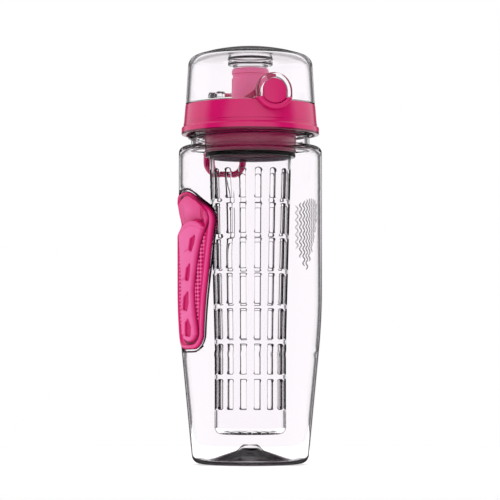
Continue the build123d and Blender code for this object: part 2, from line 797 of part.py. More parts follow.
# Hinge springs: the front leg bears on the dome, the rear leg stands on the shelf
coil_x = knuckle_half + lug_gap + lug_w + rest_gap + coil_wire_r
with BuildPart() as hinge_springs:
    for side in (-1, 1):
        points, tangents = coil_points(
            Vector(side * coil_x, hinge_y, hinge_z),
            Vector(side, 0, 0), Vector(0, 1, 0), Vector(0, 0, 1),
            coil_r, coil_front_deg, -coil_front_deg - 360 * coil_turns, coil_pitch)
        front_end = points[0] - tangents[0] * coil_leg_front
        rear_leg = hinge_z - shelf_top_z - face_fit
        with BuildLine() as coil:
            Line(front_end, points[0])
            biarc_path(points, tangents)
            Line(points[-1], points[-1] + Vector(0, 0, -rear_leg))
        with BuildSketch(Plane(origin=front_end, z_dir=tangents[0])):
            Circle(coil_wire_r)
        sweep(path=coil.wires()[0])
hinge_springs.part.label = "hinge_springs"
export_step(hinge_springs.part, "parts/hinge_springs.step")
hinge_gap = least_coil_gap(coil_r, coil_pitch, coil_turns, coil_wire_r)
print("hinge spring, gap between turns:", round(hinge_gap, 2), "mm")

# Hinge pin
with BuildPart() as hinge_pin:
    with BuildSketch(side_plane(-hinge_pin_half)):
        with Locations((hinge_y, hinge_z)):
            Circle(hinge_pin_r)
    extrude(amount=2 * hinge_pin_half)
hinge_pin.part.label = "hinge_pin"
export_step(hinge_pin.part, "parts/hinge_pin.step")

# Carry loop
with BuildPart() as carry_loop:
    with BuildSketch(Plane(origin=(0, loop_y + loop_t / 2, 0), x_dir=(1, 0, 0), z_dir=(0, -1, 0))):
        with BuildLine():
            FilletPolyline((-loop_half, loop_pivot_z), (-loop_half, loop_bottom_z),
                           (loop_half, loop_bottom_z), (loop_half, loop_pivot_z), radius=loop_round)
            Line((loop_half, loop_pivot_z), (loop_inner, loop_pivot_z))
            FilletPolyline((loop_inner, loop_pivot_z), (loop_inner, loop_bottom_z + loop_band),
                           (-loop_inner, loop_bottom_z + loop_band), (-loop_inner, loop_pivot_z),
                           radius=loop_round - loop_band)
            Line((-loop_inner, loop_pivot_z), (-loop_half, loop_pivot_z))
        make_face()
    extrude(amount=loop_t)
    long_edges = carry_loop.edges().filter_by(
        lambda e: abs(e.center().Z - loop_pivot_z) > loop_t and e.length > loop_t + loop_edge)
    fillet(long_edges, loop_edge)
    for side in (-1, 1):
        with BuildSketch(side_plane(side * loop_inner)):
            with Locations((loop_y, loop_pivot_z)):
                Circle(loop_eye_r)
        extrude(amount=side * loop_band)
    with BuildSketch(side_plane(-loop_half - overrun)):
        with Locations((loop_y, loop_pivot_z)):
            Circle(loop_pin_r + run_fit)
    extrude(amount=2 * (loop_half + overrun), mode=Mode.SUBTRACT)
carry_loop.part.label = "carry_loop"
export_step(carry_loop.part, "parts/carry_loop.step")

# Loop pins
with BuildPart() as loop_pins:
    for side in (-1, 1):
        with BuildSketch(side_plane(side * loop_half)):
            with Locations((loop_y, loop_pivot_z)):
                Circle(loop_pin_r)
        extrude(amount=-side * (loop_band + loop_pin_in))
loop_pins.part.label = "loop_pins"
export_step(loop_pins.part, "parts/loop_pins.step")

# Basket
slot_pitch = slot_h + slot_gap
with BuildPart() as basket:
    with BuildSketch(Plane.XZ):
        with BuildLine():
            shell = FilletPolyline(
                (0, basket_bottom_z), (basket_low_r, basket_bottom_z), (basket_low_r, basket_low_z),
                (basket_top_r, flange_top_z - flange_h), radius=[basket_corner, basket_bend])
            Polyline(shell @ 1, (flange_r, flange_top_z - flange_h), (flange_r, flange_top_z),
                     (skirt_bore_r - rest_gap, flange_top_z),
                     (skirt_bore_r - rest_gap, basket_neck_z), (0, basket_neck_z), shell @ 0)
        make_face()
    revolve(axis=Axis.Z)
    with BuildSketch(Plane.XZ):
        with BuildLine():
            inside = FilletPolyline(
                (0, basket_bottom_z + basket_wall),
                (basket_low_r - basket_wall, basket_bottom_z + basket_wall),
                (basket_low_r - basket_wall, basket_low_z),
                (basket_top_r - basket_wall, flange_top_z - flange_h),
                radius=[basket_corner - basket_wall, basket_bend])
            Polyline(inside @ 1, (basket_top_r - basket_wall, basket_neck_z + overrun),
                     (0, basket_neck_z + overrun), inside @ 0)
        make_face()
    revolve(axis=Axis.Z, mode=Mode.SUBTRACT)
    with BuildSketch(Plane.XY.offset(basket_bottom_z - overrun)):
        Circle(drain_r)
        with PolarLocations(drain_ring_r, drain_count):
            Circle(drain_r)
        with PolarLocations(rim_drain_ring_r, rim_drain_count):
            Circle(rim_drain_r)
    extrude(amount=basket_wall + 2 * overrun, mode=Mode.SUBTRACT)

with BuildPart() as slot_column:
    with BuildSketch(front_plane(0)):
        for row in range(slot_rows - 1):
            with Locations((0, slot_first_z + slot_h / 2 + row * slot_pitch)):
                RectangleRounded(slot_w, slot_h, slot_round)
        top_z = slot_first_z + (slot_rows - 1) * slot_pitch
        with BuildLine():
            Line((slot_w / 2, top_z), (slot_w / 2, top_z + slot_h - slot_w / 2))
            ThreePointArc((slot_w / 2, top_z + slot_h - slot_w / 2), (0, top_z + slot_h),
                          (-slot_w / 2, top_z + slot_h - slot_w / 2))
            Polyline((-slot_w / 2, top_z + slot_h - slot_w / 2), (-slot_w / 2, top_z),
                     (slot_w / 2, top_z))
        make_face()
    extrude(amount=flange_r)

with BuildPart() as infuser:
    add(basket.part)
    with PolarLocations(0, slot_columns, start_angle=180 / slot_columns):
        add(slot_column.part, mode=Mode.SUBTRACT)
infuser.part.label = "infuser_basket"
export_step(infuser.part, "parts/infuser_basket.step")

# Basket seal
with BuildPart() as infuser_seal:
    with BuildSketch(Plane.XY.offset(basket_neck_z + face_fit)):
        Circle(skirt_bore_r - rest_gap)
        Circle(basket_top_r - basket_wall, mode=Mode.SUBTRACT)
    extrude(amount=seal_h)
infuser_seal.part.label = "infuser_seal"
export_step(infuser_seal.part, "parts/infuser_seal.step")
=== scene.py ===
"""Looks of the fruit infuser water bottle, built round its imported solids.

Surfaces are worked out with numpy in millimetres and stored in metres. Every piece rides on
the body of the node that it stands for.
"""

from math import radians

import bmesh
import bpy
import numpy as np
from bpy.props import FloatProperty, FloatVectorProperty, IntProperty, PointerProperty
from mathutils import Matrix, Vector


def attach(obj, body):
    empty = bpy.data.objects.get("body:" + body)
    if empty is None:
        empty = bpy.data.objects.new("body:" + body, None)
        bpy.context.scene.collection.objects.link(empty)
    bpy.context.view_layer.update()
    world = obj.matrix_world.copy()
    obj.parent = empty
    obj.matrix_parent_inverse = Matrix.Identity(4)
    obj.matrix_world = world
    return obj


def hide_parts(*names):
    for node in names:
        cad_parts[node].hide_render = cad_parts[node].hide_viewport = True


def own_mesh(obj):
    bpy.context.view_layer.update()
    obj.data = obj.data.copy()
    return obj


bl_info = {
    "name": "Infuser Bottle",
    "version": (1, 0, 0),
    "blender": (4, 5, 0),
    "location": "3D View > Sidebar > Bottle",
    "description": "Builds a clear fruit infuser bottle with its lid, grip and basket",
    "category": "Add Mesh",
}

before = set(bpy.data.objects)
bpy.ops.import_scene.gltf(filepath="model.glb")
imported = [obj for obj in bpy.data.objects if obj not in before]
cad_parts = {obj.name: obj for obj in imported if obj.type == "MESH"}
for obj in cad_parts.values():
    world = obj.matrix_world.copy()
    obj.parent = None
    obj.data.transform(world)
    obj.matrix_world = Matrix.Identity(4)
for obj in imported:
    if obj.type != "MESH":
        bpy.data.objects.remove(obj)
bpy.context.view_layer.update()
MM = 0.001

# Places of the solids, in millimetres; a pair is a radius or a y with a height
BODY_R = 45.3               # radius of the bottle's upper half
WALL = 2.2
FOOT = (37.0, 6.0)          # where the base corner meets the side
BEND_Z = 91.3               # where the side's leaning and upright lines would meet
BEND_R = 384.0              # radius of the arc that joins them
SHOULDER_R = 7.6
NECK_ROOT = 200.3
NECK_R = 37.5
NECK_WALL = 2.6
NECK_TOP = 221.0
GASKET_TOP = 222.35
DECK_Z = 222.4
DECK_TOP = 225.1
SKIRT_R = 29.0
SKIRT_BORE = 26.9
SKIRT_LOW = 196.3
SKIRT_STOP = (24.8, 210.4)  # step in the skirt's bore over the basket's neck
COLLAR_TOP = 226.5
COLLAR_LOW = 207.8
COLLAR_BORE = 39.9
BEAD_R = 43.6
DOME_FOOT = (41.0, 226.8)
DOME_SHOULDER = (39.2, 256.8)
DOME_CORNER = 8.0
DOME_TOP = 263.9
DOME_WALL = 2.0
BUTTON_Z = 231.4            # middle of the button's round top
BUTTON_R = 8.0
BUTTON_LOW = 223.7
BUTTON_DIP = 3.9            # depth of the button's lower arc
SPLIT_Z = 227.6             # height where the button's surround is split
GLIDE = 0.25                # gap round the button and between the surround's halves
BEZEL_FACE = 43.9
BEZEL_W = 3.6
HOUSING = (5.5, 7.25)       # bore and outer radius of the latch housing
HINGE = (44.5, 236.0)
HINGE_PIN_R = 1.3
LOOP = (48.0, 217.0)
LOOP_PIN_R = 1.5
LOOP_HALF = 14.75
SPOUT_BORE = 9.2
SPOUT_TOP = 249.8
SEAL_CAP_R = 14.2
BASKET_WALL = 1.5
BASKET_LOW = (22.5, 75.0)   # upright lower part, up to its soft bend
BASKET_TOP = (25.9, 193.5)
BASKET_FLOOR = (18.9, 20.4)
BASKET_CORNER = (18.1, 23.3, 4.4)   # middle of the rounded foot, and its radius
FLANGE = (28.6, 196.0)
BASKET_NECK = (24.4, 26.6, 209.0)   # bore, radius and top of the basket's neck
SLOT_TIERS = 7
SLOT_PITCH = 22.0
SLOT_FOOT = 33.1            # foot of the lowest tier
SLOT_GAP = 3.6
SLOT_HALF = 1.85
SLOT_ROUND = 0.6
GRIP_LOW = 71.6
GRIP_TOP = 171.6
GRIP_SINK = 1.2             # depth of the grip's recess
THUMB_SINK = 3.8            # and of its part under the thumb
RECESS = 0.5                # how far the recess reaches past the grip's outline

# Directions, counted from +X towards +Y: grip, palm, middle of the backdrop, first slot
GRIP_TURN = radians(189.8)
PALM_TURN = radians(9.8)
BACKDROP = radians(69.3)
SLOT_TURN = radians(-88.2)


# Curves in a plane

def smooth(x):
    """Rises from 0 to 1 as x goes from 0 to 1, level at both ends: 3 x squared less 2 x cubed."""
    x = np.clip(x, 0.0, 1.0)
    return x * x * (3.0 - 2.0 * x)


def rounded(corners, radii, steps=6, closed=False):
    """Path through corners with each one replaced by an arc of its radius, steps points an arc."""
    pts = np.array(corners, float)
    n = len(pts)
    out = []
    for i in range(n):
        r = radii[i] if hasattr(radii, "__len__") else radii
        if (not closed and i in (0, n - 1)) or r <= 0:
            out.append(pts[i][None, :])
            continue
        p, a, b = pts[i], pts[i - 1], pts[(i + 1) % n]
        u, v = a - p, b - p
        lu, lv = np.linalg.norm(u), np.linalg.norm(v)
        u, v = u / lu, v / lv
        half = np.arccos(np.clip(u @ v, -1, 1)) / 2
        if half > np.pi / 2 - 1e-4:
            out.append(p[None, :])
            continue
        reach = min(r / np.tan(half), 0.49 * lu, 0.49 * lv)
        r = reach * np.tan(half)
        mid = (u + v) / np.linalg.norm(u + v)
        centre = p + mid * (r / np.sin(half))
        w0, w1 = p + u * reach - centre, p + v * reach - centre
        sweep = np.arctan2(w0[0] * w1[1] - w0[1] * w1[0], w0 @ w1)
        t = np.linspace(0, sweep, steps)[:, None]
        side = np.array([-w0[1], w0[0]])
        out.append(centre + w0 * np.cos(t) + side * np.sin(t))
    return np.vstack(out)


def spaced(path, count):
    """The same path with count points at even distances along it."""
    path = np.asarray(path, float)
    along = np.concatenate([[0], np.cumsum(np.linalg.norm(np.diff(path, axis=0), axis=1))])
    want = np.linspace(0, along[-1], count)
    return np.stack([np.interp(want, along, path[:, k]) for k in range(path.shape[1])], axis=1)


def even_loop(loop, count):
    """The same closed loop with count points at even distances along it."""
    return spaced(np.vstack([loop, loop[:1]]), count + 1)[:-1]


def arc(centre, radius, start, end, count, endpoint=True):
    """Points of an arc in a plane: the centre plus the radius times cosine and sine."""
    a = np.linspace(start, end, count, endpoint=endpoint)
    return np.column_stack([centre[0] + radius * np.cos(a), centre[1] + radius * np.sin(a)])


def circle(centre, radius, count):
    """Points of a full circle in a plane."""
    return arc(centre, radius, 0, 2 * np.pi, count, endpoint=False)


def normals_of(loop):
    """Outward unit normals of a closed loop of points: the turned chord between neighbours."""
    chord = np.roll(loop, -1, axis=0) - np.roll(loop, 1, axis=0)
    n = np.stack([chord[:, 1], -chord[:, 0]], axis=1)
    n /= np.linalg.norm(n, axis=1)[:, None] + 1e-12
    area = np.sum(loop[:, 0] * np.roll(loop[:, 1], -1) - loop[:, 1] * np.roll(loop[:, 0], -1))
    return n if area > 0 else -n


def distance_to(points, loop):
    """Distance from points to a closed loop, negative inside it, by its nearest straight piece."""
    a = loop
    b = np.roll(loop, -1, axis=0)
    d = b - a
    best = np.full(len(points), 1e9)
    inside = np.zeros(len(points), bool)
    for p, q, e in zip(a, b, d):
        rel = points - p
        t = np.clip(rel @ e / (e @ e + 1e-12), 0, 1)
        best = np.minimum(best, np.linalg.norm(rel - t[:, None] * e, axis=1))
        cross = (p[1] > points[:, 1]) != (q[1] > points[:, 1])
        x = p[0] + (points[:, 1] - p[1]) * e[0] / (e[1] if abs(e[1]) > 1e-9 else 1e-9)
        inside ^= cross & (points[:, 0] < x)
    return np.where(inside, -best, best)


# Meshes

class Skin:
    """Gathers grids of points into one mesh; each grid's neighbours are joined by four-sided faces."""

    def __init__(self):
        self.points = []
        self.faces = []
        self.marks = []
        self.count = 0

    def grid(self, points, wrap_rows=False, wrap_cols=False, mark=None):
        """Adds a grid of rows by columns; a wrapped direction joins its end to its start."""
        rows, cols = points.shape[:2]
        index = np.arange(rows * cols).reshape(rows, cols) + self.count
        if wrap_rows:
            index = np.vstack([index, index[:1]])
        if wrap_cols:
            index = np.hstack([index, index[:, :1]])
        quads = np.stack([index[:-1, :-1], index[:-1, 1:], index[1:, 1:], index[1:, :-1]], axis=-1)
        self.points.append(points.reshape(-1, 3))
        self.faces.append(quads.reshape(-1, 4))
        flat = np.zeros(rows * cols) if mark is None else np.asarray(mark, float).reshape(-1)
        self.marks.append(flat)
        self.count += rows * cols
        return self

    def ends(self, grid):
        """Closes the first and the last row of a grid, each by faces that run to its middle."""
        for edge in (grid[:1], grid[-1:]):
            middle = np.broadcast_to(edge.mean(axis=1, keepdims=True), edge.shape)
            self.grid(np.concatenate([edge, middle]), wrap_cols=True)
        return self

    def mesh(self, name):
        """The gathered grids as one closed mesh in metres, doubles merged, faces turned outward."""
        points = np.vstack(self.points) * MM
        faces = np.vstack(self.faces)
        data = bpy.data.meshes.new(name)
        data.vertices.add(len(points))
        data.vertices.foreach_set("co", points.astype(np.float32).ravel())
        data.loops.add(faces.size)
        data.loops.foreach_set("vertex_index", faces.astype(np.int32).ravel())
        data.polygons.add(len(faces))
        data.polygons.foreach_set("loop_start", np.arange(0, faces.size, 4, dtype=np.int32))
        data.polygons.foreach_set("loop_total", np.full(len(faces), 4, dtype=np.int32))
        mark = data.attributes.new("mark", "FLOAT", "POINT")
        mark.data.foreach_set("value", np.concatenate(self.marks).astype(np.float32))
        data.update()
        data.validate()
        work = bmesh.new()
        work.from_mesh(data)
        bmesh.ops.remove_doubles(work, verts=work.verts, dist=1e-6)
        bmesh.ops.dissolve_degenerate(work, edges=work.edges, dist=1e-7)
        bmesh.ops.recalc_face_normals(work, faces=work.faces)
        work.to_mesh(data)
        work.free()
        data.polygons.foreach_set("use_smooth", np.ones(len(data.polygons), bool))
        return data


def place(skin, name, material, body, nodes=()):
    """Makes the gathered skin an object with its material, on its body, standing for its nodes."""
    data = skin.mesh(name)
    data.materials.append(material)
    piece = bpy.data.objects.new(name, data)
    bpy.context.scene.collection.objects.link(piece)
    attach(piece, body)
    if nodes:
        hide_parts(*nodes)
    return piece


def polar(radius, angle, height):
    """Places at a radius, an angle from +X towards +Y and a height."""
    radius, angle, height = np.broadcast_arrays(radius, angle, height)
    return np.stack([radius * np.cos(angle), radius * np.sin(angle), height], axis=-1)


def polar_front(radius, angle, height):
    """Places at a radius, an angle from the front, -Y, towards +X and a height."""
    radius, angle, height = np.broadcast_arrays(radius, angle, height)
    return np.stack([radius * np.sin(angle), -radius * np.cos(angle), height], axis=-1)


def lathe(profile, columns=160):
    """Grid of a profile of radius and height turned round the upright axis."""
    return polar(profile[:, :1], np.linspace(0, 2 * np.pi, columns, endpoint=False), profile[:, 1:])


def slab(loop, low, high, edge, put, steps=4):
    """Grid of a closed loop carried from low to high with its edges rounded, closed at both ends.

    Each row is the loop moved inward along its normals by 1 less the sine, at a depth of
    1 less the cosine, of an angle that runs over a quarter turn; put turns it into places.
    """
    n = normals_of(loop)
    turn = np.linspace(0, np.pi / 2, steps)
    inset = np.concatenate([edge * (1 - np.sin(turn)), edge * (1 - np.sin(turn[::-1]))])
    depth = np.concatenate([low + edge * (1 - np.cos(turn)), high - edge * (1 - np.cos(turn[::-1]))])
    rows = loop[None] - n[None] * inset[:, None, None]
    middle = loop.mean(axis=0)
    fan = middle + (rows[0] - middle) * np.linspace(0, 0.97, 4)[:, None, None]
    fan_end = middle + (rows[-1] - middle) * np.linspace(0.97, 0, 4)[:, None, None]
    rows = np.concatenate([fan, rows, fan_end])
    depth = np.concatenate([np.full(4, low), depth, np.full(4, high)])
    return put(rows[..., 0], rows[..., 1], np.broadcast_to(depth[:, None], rows.shape[:2]))


def put_x(a, b, d):
    """Loop of y and height, carried along x."""
    return np.stack([d, a, b], axis=-1)


def put_y(a, b, d):
    """Loop of x and height, carried along y."""
    return np.stack([a, d, b], axis=-1)


def set_at(loop, at, put):
    """A flat loop in space, at one place on the axis that put carries it along."""
    return put(loop[:, 0], loop[:, 1], np.full(len(loop), float(at)))


def capped(grid):
    """A band whose columns run along it, with its two end columns drawn to their middles."""
    middle = np.broadcast_to(grid.mean(axis=0, keepdims=True), grid.shape)
    return np.concatenate([middle[:, :1], grid, middle[:, -1:]], axis=1)


def tube(path, lead, radius, around=14, section=None):
    """Grid of a round or given section carried along a path, closed at both ends.

    lead gives at each point a direction across the path; the section's first axis follows it.
    Near the ends the section shrinks by a sine.
    """
    t = np.gradient(path, axis=0)
    t /= np.linalg.norm(t, axis=1)[:, None]
    n = lead - t * np.sum(lead * t, axis=1)[:, None]
    n /= np.linalg.norm(n, axis=1)[:, None]
    b = np.cross(t, n)
    shape = circle((0, 0), radius, around) if section is None else section
    caps = np.sin(np.linspace(0.02, np.pi / 2, 4))
    scale = np.concatenate([caps, np.ones(len(path) - 2), caps[::-1]])[:, None, None]
    step = np.concatenate([[0] * 4, np.arange(1, len(path) - 1), [-1] * 4])
    across = n[step][:, None] * shape[None, :, :1] + b[step][:, None] * shape[None, :, 1:]
    rows = path[step][:, None] + scale * across
    ends = np.repeat(path[[0, -1]][:, None], rows.shape[1], axis=1)
    return np.concatenate([ends[:1], rows, ends[1:]])


# Shapes shared by the pieces

def side_radius(z):
    """Outer radius of the bottle's side: a leaning line, an arc tangent to it and an upright line."""
    lean = np.arctan2(BODY_R - FOOT[0], BEND_Z - FOOT[1])
    reach = BEND_R * np.tan(lean / 2)
    top = BEND_Z + reach
    low = BEND_Z - reach * np.cos(lean)
    line = FOOT[0] + (z - FOOT[1]) * np.tan(lean)
    arc = BODY_R - BEND_R + np.sqrt(np.maximum(BEND_R ** 2 - (z - top) ** 2, 0))
    return np.where(z < low, line, np.where(z < top, arc, BODY_R))


def grip_loop(grow=0.0):
    """Teardrop outline of the grip in its own plane, moved outward by grow."""
    corners = [(2.0, GRIP_TOP), (-22.5, GRIP_TOP - 2.0), (-20.0, GRIP_LOW), (13.5, GRIP_LOW),
               (23.9, GRIP_TOP - 14.8)]
    loop = spaced(rounded(corners, [20, 6, 11, 11, 11], 16, closed=True), 400)
    return loop + normals_of(loop) * grow


def recess_depth(z):
    """Depth of the grip's recess below the side: a shallow bed with a deeper step under the thumb."""
    return GRIP_SINK + (THUMB_SINK - GRIP_SINK) * smooth((z - 139.0) / 8.0) * smooth((170.0 - z) / 8.0)


def thumb_dent(u, z):
    """Depth of the hollow at the left of the thumb rest: a ramp down to its foot, faded sideways."""
    fall = np.where(z > 151.0, np.clip((164.0 - z) / 13.0, 0, 1), smooth((z - 143.0) / 8.0))
    return 2.7 * fall * smooth((-u - 6.0) / 10.0) * smooth((u + 38.0) / 12.0)


def thumb_swell(u, z):
    """How far the inner wall swells inward behind the thumb rest: a wide, gentle bump."""
    return 2.4 * smooth((34.0 - np.abs(u)) / 10.0) * smooth((z - 130.0) / 14.0) * smooth((178.0 - z) / 12.0)


def loop_limits(loop, z):
    """Lowest and highest sideways place of a closed loop at each height."""
    top, low = np.argmax(loop[:, 1]), np.argmin(loop[:, 1])
    turned = np.roll(loop, -top, axis=0)
    cut = (low - top) % len(loop)
    one, two = turned[:cut + 1], np.vstack([turned[cut:], turned[:1]])
    first = np.interp(z, one[::-1, 1], one[::-1, 0])
    second = np.interp(z, two[:, 1], two[:, 0])
    return np.minimum(first, second), np.maximum(first, second)


def button_path(grow, t):
    """Upper outline of the button grown outward, from its left foot over the top, for t from 0 to 1."""
    half = BUTTON_R + grow
    rise = BUTTON_Z - SPLIT_Z
    total = 2 * rise + np.pi * half
    s = t * total
    a = np.clip((s - rise) / half, 0, np.pi)
    x = -half * np.cos(a)
    z = np.where(s < rise, SPLIT_Z + s,
                 np.where(s > rise + np.pi * half, SPLIT_Z + total - s, BUTTON_Z + half * np.sin(a)))
    return x, z


def button_sag(grow, t):
    """Lower arc of the button grown outward, from its right end to its left, for t from 0 to 1."""
    half, drop = BUTTON_R + grow, SPLIT_Z - BUTTON_LOW + grow
    r = (half ** 2 + drop ** 2) / (2 * drop)
    end = np.arcsin(half / r) if drop < half else np.pi / 2
    a = end * (1 - 2 * t)
    return r * np.sin(a), SPLIT_Z - drop + r * (1 - np.cos(a))


def button_loop(grow=0.0, count=120):
    """Closed outline of the button."""
    up = np.stack(button_path(grow, np.linspace(0, 1, 80)), axis=1)
    down = np.stack(button_sag(grow, np.linspace(0, 1, 50)), axis=1)
    return spaced(np.vstack([up, down]), count + 1)[:-1]


def dome_radius(z, inset=0.0):
    """Radius of the dome's leaning side at a height."""
    share = (z - DOME_FOOT[1]) / (DOME_SHOULDER[1] - DOME_FOOT[1])
    return DOME_FOOT[0] + (DOME_SHOULDER[0] - DOME_FOOT[0]) * share - inset


def dome_crown(inset, start_z, steps):
    """Radius and height from a height on the dome's side over the rounded shoulder to the top."""
    rise = DOME_TOP - DOME_SHOULDER[1]
    r = (DOME_SHOULDER[0] ** 2 + rise ** 2) / (2 * rise)
    centre = DOME_TOP - r
    shoulder = DOME_SHOULDER[0] - inset
    edge = centre + np.sqrt((r - inset) ** 2 - shoulder ** 2)
    end = np.arcsin(shoulder / (r - inset))
    a = np.linspace(end, 0, steps)
    crown = np.stack([(r - inset) * np.sin(a), centre + (r - inset) * np.cos(a)], axis=1)
    path = np.vstack([[[dome_radius(start_z, inset), start_z]], crown])
    corner = rounded([path[0], (shoulder, edge), crown[12]], [0, DOME_CORNER - inset / 2, 0], 14)
    return np.vstack([corner, crown[13:]])


# Materials

def group_sockets(group, ins, outs):
    """Gives a shader group its named inputs, each with a default, and its outputs."""
    for name, kind, value in ins:
        s = group.interface.new_socket(name, in_out="INPUT", socket_type=kind)
        s.default_value = value
    for name, kind in outs:
        group.interface.new_socket(name, in_out="OUTPUT", socket_type=kind)


def handling_group():
    """Fine moulding grain and faint rubbed patches: a mask that varies and a height for bump."""
    g = bpy.data.node_groups.new("Handling", "ShaderNodeTree")
    group_sockets(g, [("Grain Scale", "NodeSocketFloat", 900.0), ("Patch Scale", "NodeSocketFloat", 40.0),
                      ("Patch Low", "NodeSocketFloat", 0.0), ("Patch High", "NodeSocketFloat", 1.0)],
                  [("Patches", "NodeSocketFloat"), ("Height", "NodeSocketFloat")])
    n, l = g.nodes, g.links
    gin, gout = n.new("NodeGroupInput"), n.new("NodeGroupOutput")
    coord = n.new("ShaderNodeTexCoord")
    grain = n.new("ShaderNodeTexNoise")
    grain.inputs["Detail"].default_value = 3
    patch = n.new("ShaderNodeTexNoise")
    patch.inputs["Detail"].default_value = 4
    l.new(coord.outputs["Object"], grain.inputs["Vector"])
    l.new(coord.outputs["Object"], patch.inputs["Vector"])
    l.new(gin.outputs["Grain Scale"], grain.inputs["Scale"])
    l.new(gin.outputs["Patch Scale"], patch.inputs["Scale"])
    span = n.new("ShaderNodeMapRange")
    span.inputs["From Min"].default_value = 0.35
    span.inputs["From Max"].default_value = 0.65
    l.new(patch.outputs["Fac"], span.inputs["Value"])
    l.new(gin.outputs["Patch Low"], span.inputs["To Min"])
    l.new(gin.outputs["Patch High"], span.inputs["To Max"])
    l.new(span.outputs["Result"], gout.inputs["Patches"])
    l.new(grain.outputs["Fac"], gout.inputs["Height"])
    return g


def math_node(tree, operation, *values, clamp=False):
    """Output of a new math node; each value is a number or another node's output."""
    node = tree.nodes.new("ShaderNodeMath")
    node.operation = operation
    node.use_clamp = clamp
    for socket, value in zip(node.inputs, values):
        if isinstance(value, bpy.types.NodeSocket):
            tree.links.new(value, socket)
        else:
            socket.default_value = value
    return node.outputs[0]


def colour_mix(tree, factor, first, second):
    """Output that runs from the first colour, or output, to the second colour by the factor."""
    mix = tree.nodes.new("ShaderNodeMix")
    mix.data_type = "RGBA"
    tree.links.new(factor, mix.inputs["Factor"])
    if isinstance(first, bpy.types.NodeSocket):
        tree.links.new(first, mix.inputs["A"])
    else:
        mix.inputs["A"].default_value = (*first, 1)
    mix.inputs["B"].default_value = (*second, 1)
    return mix.outputs["Result"]


def mark_of(tree):
    """Output of the piece's mark attribute."""
    node = tree.nodes.new("ShaderNodeAttribute")
    node.attribute_name = "mark"
    return node.outputs["Fac"]


def painted_edge_share(tree, low, high):
    """How much painted shade a clear surface gets on its outlines and cut edges: mark 0 is never
    dark, 1 is dark where the surface turns away from the eye by more than low to high, and 2 is
    dark all over."""
    edge, span = tree.nodes.new("ShaderNodeLayerWeight"), tree.nodes.new("ShaderNodeMapRange")
    lift = math_node(tree, "MULTIPLY_ADD", mark_of(tree), 2.0, -2.0)
    span.interpolation_type = "SMOOTHSTEP"
    span.inputs["From Min"].default_value = low
    span.inputs["From Max"].default_value = high
    tree.links.new(math_node(tree, "ADD", lift, edge.outputs["Facing"]), span.inputs["Value"])
    return span.outputs["Result"]


def finish_of(name, colour, rough, groups, bump=0.02, grain=900.0, metal=0.0, through=0.0, ior=1.5,
              tone=None, tone_from="patches", edge=None, spread=0.06, subsurface=0.0, deep=None):
    """A finish with the handling group feeding its roughness, its colour and its fine bump.

    The colour runs to tone by the patches, by mark from 0 to 1 or by the painted edge shade
    between two limits, and to deep, a painted shade, by mark from 1 to 2.
    """
    m = bpy.data.materials.new(name)
    m.use_nodes = True
    tree = m.node_tree
    s = tree.nodes["Principled BSDF"]
    hand = tree.nodes.new("ShaderNodeGroup")
    hand.node_tree = groups["handling"]
    for key, value in (("Grain Scale", grain), ("Patch Scale", 45.0),
                       ("Patch Low", max(rough - spread / 2, 0.0)), ("Patch High", rough + spread / 2)):
        hand.inputs[key].default_value = value
    tree.links.new(hand.outputs["Patches"], s.inputs["Roughness"])
    relief = tree.nodes.new("ShaderNodeBump")
    relief.inputs["Strength"].default_value = bump
    relief.inputs["Distance"].default_value = 0.0002
    tree.links.new(hand.outputs["Height"], relief.inputs["Height"])
    tree.links.new(relief.outputs["Normal"], s.inputs["Normal"])
    if edge:
        factor = painted_edge_share(tree, *edge)
    elif tone_from == "mark":
        factor = mark_of(tree)
    else:
        factor = math_node(tree, "MULTIPLY", hand.outputs["Patches"], 1.0 / max(rough + spread / 2, 1e-3))
    base = colour_mix(tree, factor, colour, tone or tuple(c * 0.94 for c in colour))
    # Marks from 1 to 2 paint shade, running the colour towards deep
    if deep:
        over = math_node(tree, "SUBTRACT", mark_of(tree), 1.0, clamp=True)
        base = colour_mix(tree, over, base, deep)
    tree.links.new(base, s.inputs["Base Color"])
    for key, value in (("Metallic", metal), ("Transmission Weight", through), ("IOR", ior),
                       ("Subsurface Weight", subsurface), ("Subsurface Scale", 0.002)):
        s.inputs[key].default_value = value
    return m


def clear_of(name, tint, rough, groups, ior, dark, low, high):
    """A clear plastic whose outline and cut edges get a painted shade, by the edge share between low and
    high.
    """
    return finish_of(name, tint, rough, groups, 0.02, 60.0, through=1.0, ior=ior, tone=dark,
                     edge=(low, high), spread=rough)


MATERIALS = {}


def material(key):
    """The finish of that name, all of them made on the first call."""
    if not MATERIALS:
        c = bpy.context.scene.bottle_colours
        groups = {"handling": handling_group()}
        core, light, clear, shade = tuple(c.pink), tuple(c.pink_light), tuple(c.clear), tuple(c.shade)
        # A dark copy of the core pink, painted as shade into creases, undersides and bores
        painted_shade = tuple(v * 0.12 for v in core)
        MATERIALS.update(
            # The clear finishes take a painted shade, the shade colour, on their outlines and cut edges
            body=clear_of("clear_body", clear, 0.008, groups, 1.12, shade, 0.8, 0.88),
            lid=clear_of("clear_lid", clear, 0.006, groups, 1.2, shade, 0.83, 0.9),
            basket=clear_of("clear_basket", clear, 0.01, groups, 1.1, shade, 0.82, 0.95),
            pink=finish_of("pink_plastic", core, 0.14, groups, 0.04, 1500.0, deep=painted_shade),
            # The grip runs by mark from light pink, the rubber's own colour with a painted highlight, to the
            # core pink and on to painted shade
            rubber=finish_of("pink_grip", light, 0.34, groups, 0.1, 2200.0, ior=1.22, tone=core,
                             tone_from="mark", deep=painted_shade),
            spout=finish_of("pink_spout", tuple(c.pink_soft), 0.34, groups, 0.05, 1200.0, subsurface=0.25),
            # The milky silicone takes the same painted shade on its edges
            milky=clear_of("seal_silicone", (0.9, 0.9, 0.91), 0.12, groups, 1.3, shade, 0.6, 0.95),
            steel=finish_of("spring_steel", (0.52, 0.52, 0.54), 0.25, groups, 0.04, 3000.0, metal=1.0),
            dark=finish_of("dark_steel", (0.045, 0.04, 0.045), 0.35, groups, 0.05, 3000.0, metal=0.6),
        )
    return MATERIALS[key]


# Settings

